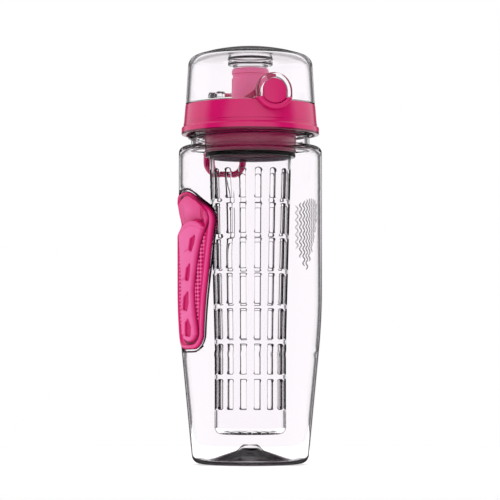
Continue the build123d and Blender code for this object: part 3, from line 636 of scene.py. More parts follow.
class BottleSizes(bpy.types.PropertyGroup):
    """Sizes of the fine forms that the solids leave to the looks."""

    thread_height: FloatProperty(name="Thread Height", default=2.0, min=0.2, max=2.5,
                                 description="How far the neck thread stands out, in mm")
    thread_pitch: FloatProperty(name="Thread Pitch", description="Rise of the neck thread a turn, in mm",
                                default=4.2, min=2.0, max=8.0)
    knurl_pitch: FloatProperty(name="Knurl Pitch", description="Distance between the grip's studs, in mm",
                               default=2.2, min=0.8, max=4.0)
    knurl_height: FloatProperty(name="Knurl Height", description="Height of the grip's studs, in mm",
                                default=0.45, min=0.0, max=1.0)
    palm_height: FloatProperty(name="Palm Rib Height", description="Height of the palm ribs, in mm",
                               default=0.7, min=0.1, max=1.5)
    slot_columns: IntProperty(name="Slot Columns", description="Columns of slots round the basket",
                              default=16, min=8, max=24)


class BottleColours(bpy.types.PropertyGroup):
    """Colours of the finishes."""

    pink: FloatVectorProperty(name="Pink", description="Core colour of the moulded pink parts",
                              subtype="COLOR", default=(0.54, 0.002, 0.11), min=0, max=1)
    # The raised rubber's own pink, lightened by a painted highlight; marks run it down to the core pink
    pink_light: FloatVectorProperty(name="Light Pink", description="Raised rubber of the grip",
                                    subtype="COLOR", default=(0.7, 0.12, 0.32), min=0, max=1)
    pink_soft: FloatVectorProperty(name="Soft Pink", description="Silicone of the spout",
                                   subtype="COLOR", default=(0.82, 0.14, 0.34), min=0, max=1)
    clear: FloatVectorProperty(name="Clear", description="Tint of the clear plastic",
                               subtype="COLOR", default=(0.99, 0.985, 0.99), min=0, max=1)
    # Painted shade for the clear plastic's outlines and cut edges, standing in for the dark they show
    shade: FloatVectorProperty(name="Edge Shade", description="Tint of the clear plastic's edges",
                               subtype="COLOR", default=(0.003, 0.0015, 0.0025), min=0, max=1)


# Bottle

def body_rows():
    """Radius, height and kind of each row from the pole under the base to the pole of the floor.

    Kind 1 is the outer side that the grip is let into, 2 the inner side that swells behind it,
    3 the threaded neck and 0 everything else.
    """
    def rows(points, kind):
        points = np.asarray(points, float)
        return np.column_stack([points, np.full(len(points), kind)])

    lean = np.arctan2(BODY_R - FOOT[0], BEND_Z - FOOT[1])
    under = spaced(rounded([(0, 10.4), (4.7, 10.4), (8.5, 6.7), (23.4, 1.4), (24.8, 0)],
                           [0, 0.8, 0.8, 0.6, 0], 5), 34)
    t = np.linspace(0, 1, 12)[:, None]

    def bend(start, end, pull):
        """Cubic from a level start to the leaning side."""
        c1 = start + np.array([pull, 0])
        c2 = end - np.array([np.sin(lean), np.cos(lean)]) * pull
        return ((1 - t) ** 3 * start + 3 * (1 - t) ** 2 * t * c1 + 3 * (1 - t) * t ** 2 * c2 + t ** 3 * end)

    corner = bend(np.array([27.2, 0.0]), np.array(FOOT), 5.0)
    loop = grip_loop(RECESS)
    top, low = loop[:, 1].max(), loop[:, 1].min()
    knots = [np.linspace(FOOT[1] + 1, low - 1.5, 26)]
    knots.append(low + np.array([-1.1, -1.0, -0.6, -0.1, 0.0, 0.12, 0.3, 0.6, 1.0, 1.6, 2.4, 3.4, 4.6]))
    knots.append(np.linspace(low + 6, top - 36, 28))
    knots.append(np.linspace(top - 35, top - 6, 34))
    knots.append(top - np.array([5, 4, 3, 2.2, 1.5, 1.0, 0.6, 0.3, 0.12, 0.0, -0.1, -0.6, -1.0, -1.1]))
    knots.append(np.linspace(top + 2, NECK_ROOT - SHOULDER_R, 8))
    z = np.concatenate(knots)
    outer = np.column_stack([side_radius(z), z])
    shoulder = rounded([(BODY_R, NECK_ROOT - 10), (BODY_R, NECK_ROOT), (NECK_R, NECK_ROOT),
                        (NECK_R, NECK_ROOT + 3)], [0, SHOULDER_R, 0.8, 0], 12)[1:-1]
    neck_z = np.linspace(NECK_ROOT + 1.0, NECK_TOP - 0.7, 56)
    neck = np.column_stack([np.full(56, NECK_R), neck_z])
    rim = rounded([(NECK_R, NECK_TOP - 0.6), (NECK_R, NECK_TOP), (NECK_R - NECK_WALL, NECK_TOP),
                   (NECK_R - NECK_WALL, NECK_TOP - 0.6)], [0, 0.5, 0.5, 0], 4)[1:-1]
    inner_neck = np.column_stack([np.full(5, NECK_R - NECK_WALL),
                                  np.linspace(NECK_TOP - 1, NECK_ROOT + 0.5, 5)])
    drop = NECK_ROOT - WALL
    inner_shoulder = rounded([(NECK_R - NECK_WALL, NECK_ROOT + 0.4), (NECK_R - NECK_WALL, drop),
                              (BODY_R - WALL, drop), (BODY_R - WALL, drop - 9)],
                             [0, 1.2, SHOULDER_R - WALL, 0], 10)[1:-1]
    z = np.concatenate([np.linspace(drop - 8, 126, 44), np.linspace(123, FOOT[1] + 1, 44)])
    inner = np.column_stack([side_radius(z) - WALL, z])
    start, end = np.array([30.0, 2.4]), np.array([FOOT[0] - WALL, FOOT[1]])
    inner_corner = bend(start, end, 3.0)[::-1]
    floor = spaced(rounded([(29.4, 2.42), (24.8, 3.7), (8.5, 9.0), (4.7, 12.7), (0, 12.7)],
                           [0, 1.5, 1.2, 1.2, 0], 5), 30)
    return np.vstack([rows(under, 0), rows(corner, 0), rows(outer, 1), rows(shoulder, 0), rows(neck, 3),
                      rows(rim, 0), rows(inner_neck, 0), rows(inner_shoulder, 0), rows(inner, 2),
                      rows(inner_corner, 0), rows(floor, 0)])


def thread_at(angle, z, pitch):
    """Share of the thread's height at each place, and how far the thread has faded in there.

    The share is a bump of the height left over after the turn's rise. The fade falls to 0 at the
    thread's two ends and at the neck's.
    """
    climb = z - NECK_ROOT - 1.6 - (angle / (2 * np.pi)) * pitch % pitch
    bump = smooth(1 - np.abs(climb % pitch - pitch / 2) / 1.25)
    count = climb / pitch
    ends = smooth((count + 0.35) / 0.3) * smooth((3.2 - count) / 0.3)
    span = smooth((z - NECK_ROOT - 1.2) / 1.0) * smooth((NECK_TOP - 4.0 - z) / 1.5)
    return bump, ends * span


def outline_marks(r, z):
    """Mark of each row: outer rows have painted dark outlines, heavier low down, at the foot and in
    the hollow under the base, where shade is painted; inner rows have none, but for the base, which
    gets painted shade too."""
    outer = np.arange(len(z)) < np.argmax(z)
    line = np.where(outer, 1.0 + 0.03 * smooth((170.0 - z) / 90.0), 0.0)
    line = np.where(outer & (r < 25) & (z < 11), 1.35, line)
    line = np.where(outer & (r >= 25) & (z < 6), 1.03 + 0.2 * smooth((6 - z) / 4), line)
    return np.where(~outer & (r < 25) & (z < 14), 1.06, line)


def bottle_columns(r, z, kind, loop):
    """Angle from the grip's direction of each place of the grid, and the share of the recess there.

    Across the grip the columns keep a steady sideways place, elsewhere they share the angle evenly.
    """
    top, bottom = loop[:, 1].max(), loop[:, 1].min()
    low, high = loop_limits(loop, z)
    fade = np.clip(np.maximum(z - top, bottom - z) / 12.0, 0, 1)
    mid = (low + high) / 2 * (1 - fade)
    half = np.maximum((high - low) / 2, 0.5) + fade * 12.0
    edge = np.minimum(0.12, half * 0.8)
    depth_z = smooth((top - z) / 0.12) * smooth((z - bottom) / 0.12) * (kind == 1)
    n_in, n_edge, n_out = 26, 6, 176
    e = np.linspace(0, 1, n_edge)[:, None]
    s = np.linspace(-1, 1, n_in + 2)[1:-1][:, None]
    u = np.concatenate([mid - half + e * edge, mid + s * (half - edge), mid + half - edge + e * edge])
    mask = np.concatenate([smooth(e), np.ones_like(s), smooth(1 - e)]) * np.ones_like(z)
    across = np.arcsin(np.clip(u * np.clip(r / 25.0, 0.0, 1.0) / np.maximum(r, 1e-6), -0.98, 0.98))
    across = np.where(r < 1e-6, 0.0, across)
    start, end = across[-1], across[0] + 2 * np.pi
    beside = np.array([0.03, 0.5, 1.0, 1.06, 1.6])[:, None] / np.maximum(r, 25.0)
    far = np.linspace(0, 1, n_out - 8)[1:-1][:, None]
    rest = np.concatenate([start + beside, start + beside[-1] + (end - start - 2 * beside[-1]) * far,
                           end - beside[::-1]])
    sunk = np.concatenate([mask * depth_z, np.zeros((n_out, len(z)))])
    return np.concatenate([across, rest]).T, sunk.T


def bottle_grid(sizes):
    """Grid of the bottle: rows up the outside and down the inside, columns that follow the grip.

    The side's radius is lowered by the recess depth inside the grip's outline and by the thumb
    hollow outside it, and the inner wall's by the swell. The neck's is raised by the thread.
    """
    rows = body_rows()
    r, z, kind = rows[:, 0], rows[:, 1], rows[:, 2]
    loop = grip_loop(RECESS)
    turned, sunk = bottle_columns(r, z, kind, loop)
    angle = turned + GRIP_TURN
    height, side, neck = z[:, None], (kind == 1)[:, None], (kind == 3)[:, None]
    place_u, near = r[:, None] * np.sin(turned), np.cos(turned) > 0
    outer = sunk * recess_depth(height) + (1 - sunk) * thumb_dent(place_u, height) * near
    inner = thumb_swell(place_u, height) * near
    bump, shown = thread_at(angle, height, sizes.thread_pitch)
    radius = r[:, None] - side * outer - (kind == 2)[:, None] * inner
    radius = radius + neck * sizes.thread_height * bump * shown

    # The thread's flanks, the recess's edge and a line round it are painted dark, as shade in the thread
    # and in the gap round the grip, and its bed is clear
    mark = outline_marks(r, z)[:, None] + neck * 1.4 * bump * (1 - bump) * shown
    mark = np.where(sunk > 0.995, 0.0, np.where(sunk > 0.005, 2.0, mark))
    beside = side & near & (np.abs(place_u) < 30)
    places = np.column_stack([place_u[beside], np.broadcast_to(height, beside.shape)[beside]])
    away = distance_to(places, spaced(loop, 200))
    line = (away > -0.001) & (away < 1.03) & (places[:, 0] > -17)
    mark[beside] = np.where(line, 2.0, mark[beside])
    return polar(radius, angle, height), mark


class BODY_OT_build(bpy.types.Operator):
    """Bottle with its kick-up, shoulder, threaded neck and the recess that the grip lies in."""

    bl_idname = "bottle.body"
    bl_label = "Bottle"

    def execute(self, context):
        """Builds the clear bottle."""
        grid, mark = bottle_grid(context.scene.bottle_sizes)
        skin = Skin().grid(grid, wrap_cols=True, mark=mark)
        place(skin, "bottle_shell", material("body"), "bottle", ["bottle_body"])
        return {"FINISHED"}


def on_side(u, z, radius, turn):
    """Places at a sideways distance u, a height and a radius, facing the direction turn."""
    return polar(radius, turn + np.arcsin(np.clip(u / radius, -1, 1)), z)


class PALM_OT_build(bpy.types.Operator):
    """Wavy upright ribs moulded where the palm rests, across from the grip."""

    bl_idname = "bottle.palm"
    bl_label = "Palm Ribs"

    def execute(self, context):
        """Each rib is a low half-round tube whose middle line is a sine of the height."""
        tall = context.scene.bottle_sizes.palm_height
        step, wave, sway, half_w = 3.2, 4.7, 0.9, 0.5
        a = np.linspace(0, 2 * np.pi, 12, endpoint=False)
        skin = Skin()
        for k in range(-4, 5):
            u0 = k * step + 0.5
            low = 122.5 + 30.0 * (abs(u0 - 4.5) / 16.5) ** 1.1
            high = 169.6 - 3.0 * (abs(u0) / 12.0) ** 2
            z = np.linspace(low, high, int((high - low) / 0.42))[:, None]
            taper = np.sqrt(np.clip(np.minimum(z - low, high - z) / 1.4, 0, 1))
            rise = tall * taper * np.maximum(np.sin(a), 0) + 0.03 + np.minimum(np.sin(a), 0) * 0.02
            u = u0 + sway * np.sin(2 * np.pi * z / wave) + half_w * taper * np.cos(a)
            grid = on_side(u, z, side_radius(z) + rise, PALM_TURN)
            # Mark 1.3 paints shade on the ribs wherever they turn a little away from the eye
            skin.grid(grid, wrap_cols=True, mark=np.full(u.shape, 1.3)).ends(grid)
        place(skin, "palm_ribs", material("body"), "bottle")
        return {"FINISHED"}


# Hand grip

# Half outlines of the grip's raised spine: height, sideways place to the right and to the left
SPINE = np.array([(76.4, 1.5, -2.5), (77.4, 4.6, -5.6), (79.0, 6.8, -7.9), (81.5, 8.6, -9.6),
                  (86.0, 8.5, -9.6), (93.0, 7.5, -8.8), (100.7, 6.8, -8.2), (108.7, 6.4, -7.8),
                  (116.7, 7.4, -8.6), (124.7, 8.9, -9.9), (131.5, 10.3, -11.1), (138.8, 12.3, -12.8),
                  (144.3, 14.7, -14.4), (149.2, 17.0, -16.2), (153.4, 18.5, -17.6), (157.0, 17.4, -18.4),
                  (160.5, 14.0, -18.0), (163.5, 10.0, -15.6), (166.0, 5.0, -11.0), (167.6, 1.0, -5.0)])
# Corners of the four windows in the spine
WINDOWS = (((10.2, 143.9), (4.8, 141.0), (2.9, 134.0), (6.0, 132.3), (8.9, 137.8)),
           ((5.3, 127.0), (0.3, 122.6), (-1.7, 115.2), (3.2, 114.4), (4.3, 118.1)),
           ((3.2, 109.1), (-3.2, 105.3), (-5.1, 96.8), (1.1, 95.8), (3.0, 100.8)),
           ((1.6, 91.8), (-2.2, 89.1), (-3.4, 80.4), (3.6, 79.9), (4.6, 85.9)))
# Corners of the crescent of painted shade on the thumb rest's right side
SHADE_CRESCENT = ((13.6, 162.2), (11.0, 160.8), (9.9, 154.6), (11.6, 150.4), (15.2, 152.2), (16.2, 157.6))
ARCH = np.array([(-16.0, 143.6), (-10.0, 146.6), (-5.6, 148.7), (0.1, 150.8), (5.8, 151.8), (10.7, 151.1),
                 (14.1, 149.2), (17.0, 146.0)])


def spine_loop():
    """Closed outline of the spine, up its right half and down its left."""
    fine = np.linspace(SPINE[0, 0], SPINE[-1, 0], 90)
    right, left = (np.interp(fine, SPINE[:, 0], SPINE[:, k]) for k in (1, 2))
    return np.vstack([np.column_stack([right, fine]), np.column_stack([left, fine])[::-1]])


def grip_relief(u, z, sizes):
    """Height of the grip over the bottle's side, and its colour mark, at each place.

    The rim, the groove, the spine, its windows and the studs are each a smooth step of the
    distance to their outline. Marks run from 0, light pink with a painted highlight, by 1, full
    colour, to 2, dark painted shade.
    """
    flat = np.column_stack([u.ravel(), z.ravel()])
    to_rim = distance_to(flat, spaced(grip_loop(-0.4), 160)).reshape(u.shape)
    to_spine = distance_to(flat, spine_loop()).reshape(u.shape)
    raised = smooth(-to_spine / 1.6)
    height = 0.35 - 1.0 * smooth(1 + to_rim / 1.0) + 0.5 * np.exp(-((to_rim + 1.9) / 1.1) ** 2)
    height = height - 0.9 * smooth((-to_rim - 2.6) / 1.0) + 1.9 * raised
    height = height - 0.5 * np.exp(-((to_spine - 0.7) / 0.6) ** 2)

    # Painted highlight on the rim, full colour beside it, painted shade along the groove round the spine
    mark = 0.9 - 0.5 * np.exp(-((to_rim + 1.9) / 0.8) ** 2)
    mark = mark + 0.9 * smooth((to_rim + 0.9) / 0.8)
    mark = mark + 1.1 * np.exp(-((to_spine - 0.75) / 0.8) ** 2)
    mark = mark * (1 - raised) + 0.12 * raised

    # Studs beside the spine, with painted highlights on their tops and painted shade between them
    band = smooth((to_spine - 1.5) / 0.4) * smooth((-to_rim - 5.0) / 0.4)
    band = band * smooth((z - 87.0) / 2.0) * smooth((147.0 - z) / 2.0)
    a = (u + z) / sizes.knurl_pitch * np.pi * 0.92
    b = (u - z) / sizes.knurl_pitch * np.pi * 0.92
    stud = smooth(0.5 + 0.9 * np.sin(a) * np.sin(b))
    height = height + band * (sizes.knurl_height * stud + 0.3)
    mark = mark * (1 - band) + band * (1.5 - 1.7 * stud)

    # Windows, and the shelf that runs left from the foot of each; the windows show the core pink with a
    # little painted shade, the shelf a half tone of painted shade, and a painted shade line runs round
    # their lower part
    inside = to_spine < -0.5
    for corners in WINDOWS:
        outline = rounded(corners, 1.0, 4, closed=True)
        away = distance_to(flat, outline).reshape(u.shape)
        hollow = smooth(0.5 - away / 0.7)
        foot = min(zz for uu, zz in corners)
        reach = min(uu for uu, zz in corners)
        shelf = smooth(1 - np.abs(z - foot - 1.6 + 0.05 * (u - reach) ** 2) / 1.3) * (u < reach + 1.5)
        shelf = shelf * smooth((u - reach + 6.0) / 1.5) * inside
        height = height - 1.1 * hollow - 0.35 * shelf
        mark = np.maximum(mark, np.maximum(hollow * 1.15, 0.6 * shelf))
        mark = mark + 0.4 * np.exp(-((away - 0.1) / 0.4) ** 2) * (z < foot + 9) * inside

    # Thumb rest above the arch: a ramp that sinks towards its foot, with a crescent at the right. Its
    # middle carries a painted highlight, the crescent and a line along the arch are painted shade, and the
    # ridge below the arch carries a painted highlight
    arch = np.interp(u, ARCH[:, 0], ARCH[:, 1])
    over = smooth((z - arch) / 0.9) * smooth(-to_spine / 1.2)
    ramp = 42.3 + 3.2 * np.clip((z - arch) / 17.0, 0, 1) ** 0.8 - side_radius(z)
    ramp = ramp + 2.2 * smooth((np.abs(u) - 10.0) / 8.0)
    height = height * (1 - over) + np.minimum(ramp, height) * over
    dish = 0.5 - 0.25 * np.exp(-(((u + 2.0) / 7.0) ** 2 + ((z - 159.0) / 4.0) ** 2))
    mark = mark * (1 - over) + dish * over
    away = distance_to(flat, rounded(SHADE_CRESCENT, 1.2, 4, closed=True)).reshape(u.shape)
    mark = np.maximum(mark, 1.2 * smooth(0.5 - away / 1.0) * over)
    mark = mark + 1.0 * np.exp(-((z - arch - 0.5) / 0.85) ** 2) * inside
    ridge = np.exp(-((z - arch + 1.1) / 0.9) ** 2) * inside
    height = height + 0.45 * ridge
    mark = mark * (1 - ridge) + 0.3 * ridge
    mark = mark + 0.3 * np.exp(-((z - arch + 2.9) / 0.5) ** 2) * inside
    height = np.maximum(height - thumb_dent(u, z), 0.3 - recess_depth(z))
    return height, np.clip(mark, 0, 2)


class GRIP_OT_build(bpy.types.Operator):
    """Soft hand grip with its rim, grooved spine, windows, studs and thumb ramp."""

    bl_idname = "bottle.grip"
    bl_label = "Hand Grip"

    def execute(self, context):
        """Rows go from tip to tip; columns span the outline; the back follows the recess floor."""
        sizes = context.scene.bottle_sizes
        t = np.linspace(0, np.pi, 380)
        loop = grip_loop(-0.4)
        bottom, tall = loop[:, 1].min(), np.ptp(loop[:, 1])
        z = bottom + tall * (1 - np.cos(t) * (0.35 + 0.65 * np.abs(np.cos(t)))) / 2
        z = np.sort(z)
        low, high = loop_limits(loop, z)
        s = np.sin(np.linspace(-np.pi / 2, np.pi / 2, 180)) * 0.25 + np.linspace(-1, 1, 180) * 0.75
        mid, half = ((low + high) / 2)[:, None], np.maximum((high - low) / 2, 0.02)[:, None]
        u = mid + half * s
        zz = z[:, None] + 0 * s
        height, mark = grip_relief(u, zz, sizes)
        top = on_side(u, zz, side_radius(zz) + height, GRIP_TURN)
        back = side_radius(zz[:, ::6]) - recess_depth(zz[:, ::6]) + 0.05
        floor = on_side(u[:, ::6], zz[:, ::6], back, GRIP_TURN)
        floor = floor[:, ::-1]
        steps = np.linspace(0, 1, 5)[1:-1][None, :, None]
        right = top[:, -1:] + (floor[:, :1] - top[:, -1:]) * steps
        left = floor[:, -1:] + (top[:, :1] - floor[:, -1:]) * steps
        ring = np.concatenate([top, right, floor, left], axis=1)
        marks = np.concatenate([mark, np.full((len(z), ring.shape[1] - mark.shape[1]), 0.8)], axis=1)
        skin = Skin().grid(ring, wrap_cols=True, mark=marks).ends(ring)
        place(skin, "hand_grip", material("rubber"), "bottle", ["grip_pad"])
        return {"FINISHED"}


# Lid

def ring_skin(corners, radii, columns=192, steps=4):
    """Closed ring: a closed outline of radius and height turned round the axis."""
    return Skin().grid(lathe(rounded(corners, radii, steps, closed=True), columns), wrap_rows=True,
                       wrap_cols=True)


def notched(grid, top):
    """Presses the rows in front down where the button passes, from the height top to the notch's floor.

    The floor is the button's lower arc as a parabola, a gap below it. What stands less than 2 mm
    under it is pressed together, and nothing lower moves.
    """
    x, y, z = np.moveaxis(grid, -1, 0)
    half = BUTTON_R + GLIDE
    floor = BUTTON_LOW - GLIDE + BUTTON_DIP * (x / half) ** 2
    start = floor - 2.0
    squeezed = start + (z - start) * (floor - start) / (top - start)
    inside = (np.abs(x) < half) & (y < 0) & (z > start)
    return np.stack([x, y, np.where(inside, squeezed, z)], axis=-1)


class COLLAR_OT_build(bpy.types.Operator):
    """Screw collar with its bead, the lower half of the button surround and its two brackets."""

    bl_idname = "bottle.collar"
    bl_label = "Collar"

    def execute(self, context):
        """A turned ring with a notch in front, and blocks with rounded edges behind."""
        pink = material("pink")
        line_z = 214.95
        corners = [(COLLAR_BORE + 1.4, COLLAR_LOW), (BEAD_R, COLLAR_LOW), (BEAD_R, COLLAR_LOW + 1.2),
                   (BEAD_R, COLLAR_LOW + 1.5), (BEAD_R, COLLAR_LOW + 4.5), (42.5, COLLAR_LOW + 4.9),
                   (42.3, line_z - 0.35), (42.3, line_z - 0.15), (42.1, line_z + 0.15),
                   (42.1, line_z + 0.35), (41.2, COLLAR_TOP), (38.2, COLLAR_TOP), (38.2, DECK_TOP),
                   (COLLAR_BORE, DECK_TOP), (COLLAR_BORE, COLLAR_LOW + 1.6)]
        radii = [0.25, 0.7, 0, 0, 0.9, 0.4, 0, 0, 0, 0, 0.4, 0.4, 0.2, 0.2, 0.3]
        profile = rounded(corners, radii, 5, closed=True)
        a = np.linspace(-np.pi, np.pi, 260, endpoint=False)
        side = np.arcsin((BUTTON_R + GLIDE) / 41.0)
        a = np.sort(np.concatenate([a, side * np.linspace(-1, 1, 26), [-side - 1e-4, side + 1e-4]]))
        grid = notched(polar_front(profile[:, :1], a, profile[:, 1:]), COLLAR_TOP)

        # Painted shade: the foot of the bead, the bore and the groove at line_z are painted dark
        r, z = profile.T
        low = (z < COLLAR_LOW + 1.3) | ((r < 41.0) & (z < DECK_TOP - 0.5))
        line = (r > 42.0) & (np.abs(z - line_z) < 0.2)
        mark = np.repeat(np.where(low, 1.9, np.where(line, 1.4, 0.0)), len(a))
        skin = Skin().grid(grid, wrap_rows=True, wrap_cols=True, mark=mark)
        place(skin, "collar_ring", pink, "lid", ["collar"])

        # Lower half of the surround: a rounded band carried along the lower arc
        root = 38.9
        section = rounded([(GLIDE, root), (GLIDE, BEZEL_FACE), (BEZEL_W, BEZEL_FACE), (BEZEL_W, root)],
                          [0.1, 0.5, 0.9, 0.1], 5, closed=True)
        rows = []
        for grow, depth in section:
            x, z = button_sag(grow, np.linspace(0, 1, 60))
            rows.append(put_y(x, z, np.full_like(x, -depth)))
        skin = Skin().grid(capped(np.array(rows)), wrap_rows=True)
        place(skin, "button_surround_low", pink, "lid", ["collar"])

        # Hinge shelf, loop bracket and knuckle post
        shelf = rounded([(39.0, 220.5), (44.5, 220.5), (48.5, 222.5), (48.5, 229.5), (41.6, 229.5),
                         (41.6, 226.4), (38.6, 226.4)], [0.2, 1.5, 1.0, 0.7, 0.5, 0.3, 0.2], 4, closed=True)
        block = rounded([(39.6, 213.5), (48.0, 213.5), (49.75, 217.0), (48.0, 220.5), (44.5, 222.4),
                         (39.6, 222.4)], [0.2, 1.4, 1.2, 1.2, 0.4, 0.2], 4, closed=True)
        post = np.vstack([arc(HINGE, 3.5, 0, np.pi, 24), [(41.3, 229.3), (48.5, 229.3)]])
        skin = Skin()
        for loop, half, edge in ((shelf, 13.0, 0.5), (block, 10.2, 0.5), (post, 2.4, 0.35)):
            skin.grid(slab(even_loop(loop, 89), -half, half, edge, put_x), wrap_cols=True)
        place(skin, "hinge_bracket", pink, "lid", ["collar"])
        return {"FINISHED"}


class DECK_OT_build(bpy.types.Operator):
    """Inner lid: deck, basket skirt, latch housing with sloping wings, and neck gasket."""

    bl_idname = "bottle.deck"
    bl_label = "Inner Lid"

    def execute(self, context):
        """A turned deck and skirt, and a housing and wings carried along y."""
        pink = material("pink")
        tiers = (198.5, 201.0, 205.0, 209.0)
        corners = [(SKIRT_BORE, SKIRT_LOW), (SKIRT_R, SKIRT_LOW), *((SKIRT_R, z) for z in tiers),
                   (SKIRT_R, DECK_Z), (39.85, DECK_Z), (39.85, DECK_TOP), (10.65, DECK_TOP),
                   (10.65, DECK_Z), (SKIRT_STOP[0], DECK_Z), SKIRT_STOP, (SKIRT_BORE, SKIRT_STOP[1])]
        radii = [0.5, 0.6, 0, 0, 0, 0, 0.8, 0.2, 0.2, 0.3, 0.3, 0.3, 0.3, 0.3]
        profile = rounded(corners, radii, 4, closed=True)

        # Painted shade: the skirt is painted darker towards its foot, and dark in its bore
        r, z = profile.T
        dark = np.interp(z, [196.9, *tiers, 222], [1.95, 1.75, 1.62, 1.45, 1.35, 1.2])
        dark = np.where(z > 222.3, 0.0, np.where(r < 27.2, 1.95, dark))

        # Only the rim is notched, and the columns run from +Y towards +X
        plain = lathe(profile, 240)[..., [1, 0, 2]]
        rim = np.hypot(plain[..., 0], plain[..., 1]) > 37.3
        grid = np.where(rim[..., None], notched(plain, DECK_TOP), plain)
        skin = Skin().grid(grid, wrap_rows=True, wrap_cols=True, mark=np.repeat(dark, grid.shape[1]))
        place(skin, "inner_deck", pink, "lid", ["inner_lid"])

        # Housing: an upright arch with the stem's bore, and its wings
        bore, out = HOUSING
        middle = (0.0, BUTTON_Z)
        foot = spaced([(-out, BUTTON_Z), (-out, 224.6), (out, 224.6), (out, BUTTON_Z)], 34)[1:-1]
        outer = np.vstack([arc(middle, out, 0, np.pi, 30), foot])
        angle = np.arctan2(outer[:, 1] - BUTTON_Z, outer[:, 0])
        inner = np.column_stack([bore * np.cos(angle), BUTTON_Z + bore * np.sin(angle)])
        pole = np.tile(middle, (len(outer), 1))
        rows = ((pole, -24.9), (outer, -24.9), (outer, -32.2), (outer, -32.5), (inner, -32.5),
                (inner, -26.5), (pole, -26.5))
        skin = Skin().grid(np.array([set_at(loop, y, put_y) for loop, y in rows]), wrap_cols=True)
        wings = rounded([(-15.95, 225.0), (-15.95, 228.3), (-7.4, 233.9), (7.4, 233.9), (15.95, 228.3),
                         (15.95, 225.0)], [0.2, 1.2, 1.5, 1.5, 1.2, 0.2], 4, closed=True)
        skin.grid(slab(even_loop(wings, 109), -31.4, -29.6, 0.35, put_y), wrap_cols=True)
        skin.grid(slab(circle(middle, 1.5, 24), -29.1, -26.4, 0.25, put_y), wrap_cols=True)
        place(skin, "latch_housing", pink, "lid", ["inner_lid"])

        inside = NECK_R - NECK_WALL
        gasket = [(inside, NECK_TOP + 0.05), (NECK_R, NECK_TOP + 0.05), (NECK_R, GASKET_TOP),
                  (inside, GASKET_TOP)]
        place(ring_skin(gasket, [0.4] * 4), "neck_gasket_ring", material("milky"), "neck_seal",
              ["neck_gasket"])
        return {"FINISHED"}


class SPOUT_OT_build(bpy.types.Operator):
    """Soft spout on its flange, with a groove under its lip, and the dome's seal above it."""

    bl_idname = "bottle.spout"
    bl_label = "Spout"

    def execute(self, context):
        """Both are closed outlines turned round the axis."""
        corners = [(SPOUT_BORE, DECK_Z), (10.6, DECK_Z), (10.6, 225.15), (14.0, 225.15), (14.0, 226.3),
                   (11.9, 226.5), (11.7, 243.6), (11.1, 243.9), (11.1, 246.1), (11.7, 246.4),
                   (11.75, 248.2), (11.2, SPOUT_TOP), (9.6, SPOUT_TOP), (SPOUT_BORE, 249.0)]
        radii = [0.2, 0.2, 0.2, 0.3, 0.4, 0.6, 0.3, 0.25, 0.25, 0.3, 0.7, 0.6, 0.4, 0.4]
        place(ring_skin(corners, radii, 128, 5), "drinking_spout", material("spout"), "lid", ["spout"])
        seal = rounded([(0, 250.5), (11.0, 250.5), (11.3, 252.2), (SEAL_CAP_R, 252.2), (SEAL_CAP_R, 252.9),
                        (SEAL_CAP_R, 253.2), (SEAL_CAP_R, 256.0), (SEAL_CAP_R, 256.3), (14.6, 256.5),
                        (14.6, 257.0), (SEAL_CAP_R, 257.2), (14.0, 260.4), (12.6, 260.6), (12.4, 254.0),
                        (0, 254.0)], [0, 0.8, 0.3, 0.4, 0, 0, 0, 0, 0.15, 0.15, 0, 0.3, 0.4, 0.6, 0], 5)
        # The seal's flange rim and the band at its lip are painted dark all over, as shade
        r, z = seal.T
        dark = (r > 13.0) & ((z < 253.0) | ((z > 256.2) & (z < 257.3)))
        skin = Skin().grid(lathe(seal, 128), wrap_cols=True, mark=np.repeat(dark * 2.0, 128))
        place(skin, "spout_seal_cup", material("lid"), "dome", ["spout_seal"])
        return {"FINISHED"}


def dome_grid():
    """Grid of the dome: from the outer top down to the foot and arch, and back up the inside.

    Columns near the front end on the arch that the button passes through; between the foot or
    arch and a level line above it they run straight in angle and height.
    """
    level = 245.0
    foot, split = DOME_FOOT[1], SPLIT_Z + GLIDE
    side = BUTTON_R + BEZEL_W + GLIDE
    x, z = button_path(GLIDE, np.linspace(0, 1, 56))
    x = np.concatenate([[-side, -side, -10.0], x, [10.0, side, side]])
    z = np.concatenate([[foot, split, split], np.maximum(z, split), [split, split, foot]])
    a0 = np.arcsin(side / DOME_FOOT[0])
    rest = np.linspace(a0, 2 * np.pi - a0, 172)[1:-1]
    spread = 0.34
    gap = np.minimum(rest, 2 * np.pi - rest) - a0
    push = (spread - a0) * np.clip(1 - gap / 1.0, 0, 1) ** 2
    rest_level = rest + np.where(rest < np.pi, push, -push)

    def low_angle(inset):
        """Angles along the foot and the arch, which is cut straight along y."""
        return np.concatenate([np.arcsin(x / dome_radius(z, inset)), rest])

    low_z = np.concatenate([z, np.full(len(rest), foot)])
    level_a = np.concatenate([np.linspace(-spread, spread, len(x)), rest_level])
    t = np.concatenate([[0, 0.02], np.linspace(0.06, 1, 16)])[:, None]
    zz = low_z + (level - low_z) * t
    sides = []
    for inset in (0.0, DOME_WALL):
        a = low_angle(inset) + (level_a - low_angle(inset)) * t
        crown = dome_crown(inset, level + 0.5, 48)
        sides.append(np.concatenate([polar_front(dome_radius(zz[1:], inset), a[1:], zz[1:]),
                                     polar_front(crown[:, :1], level_a, crown[:, 1:])]))
    edge = np.array([0.3, 1.0, 1.7])
    rim = polar_front(dome_radius(zz[:1]) - edge[:, None], np.array([low_angle(e) for e in edge]), zz[:1])
    return np.concatenate([sides[0][::-1], rim, sides[1]])


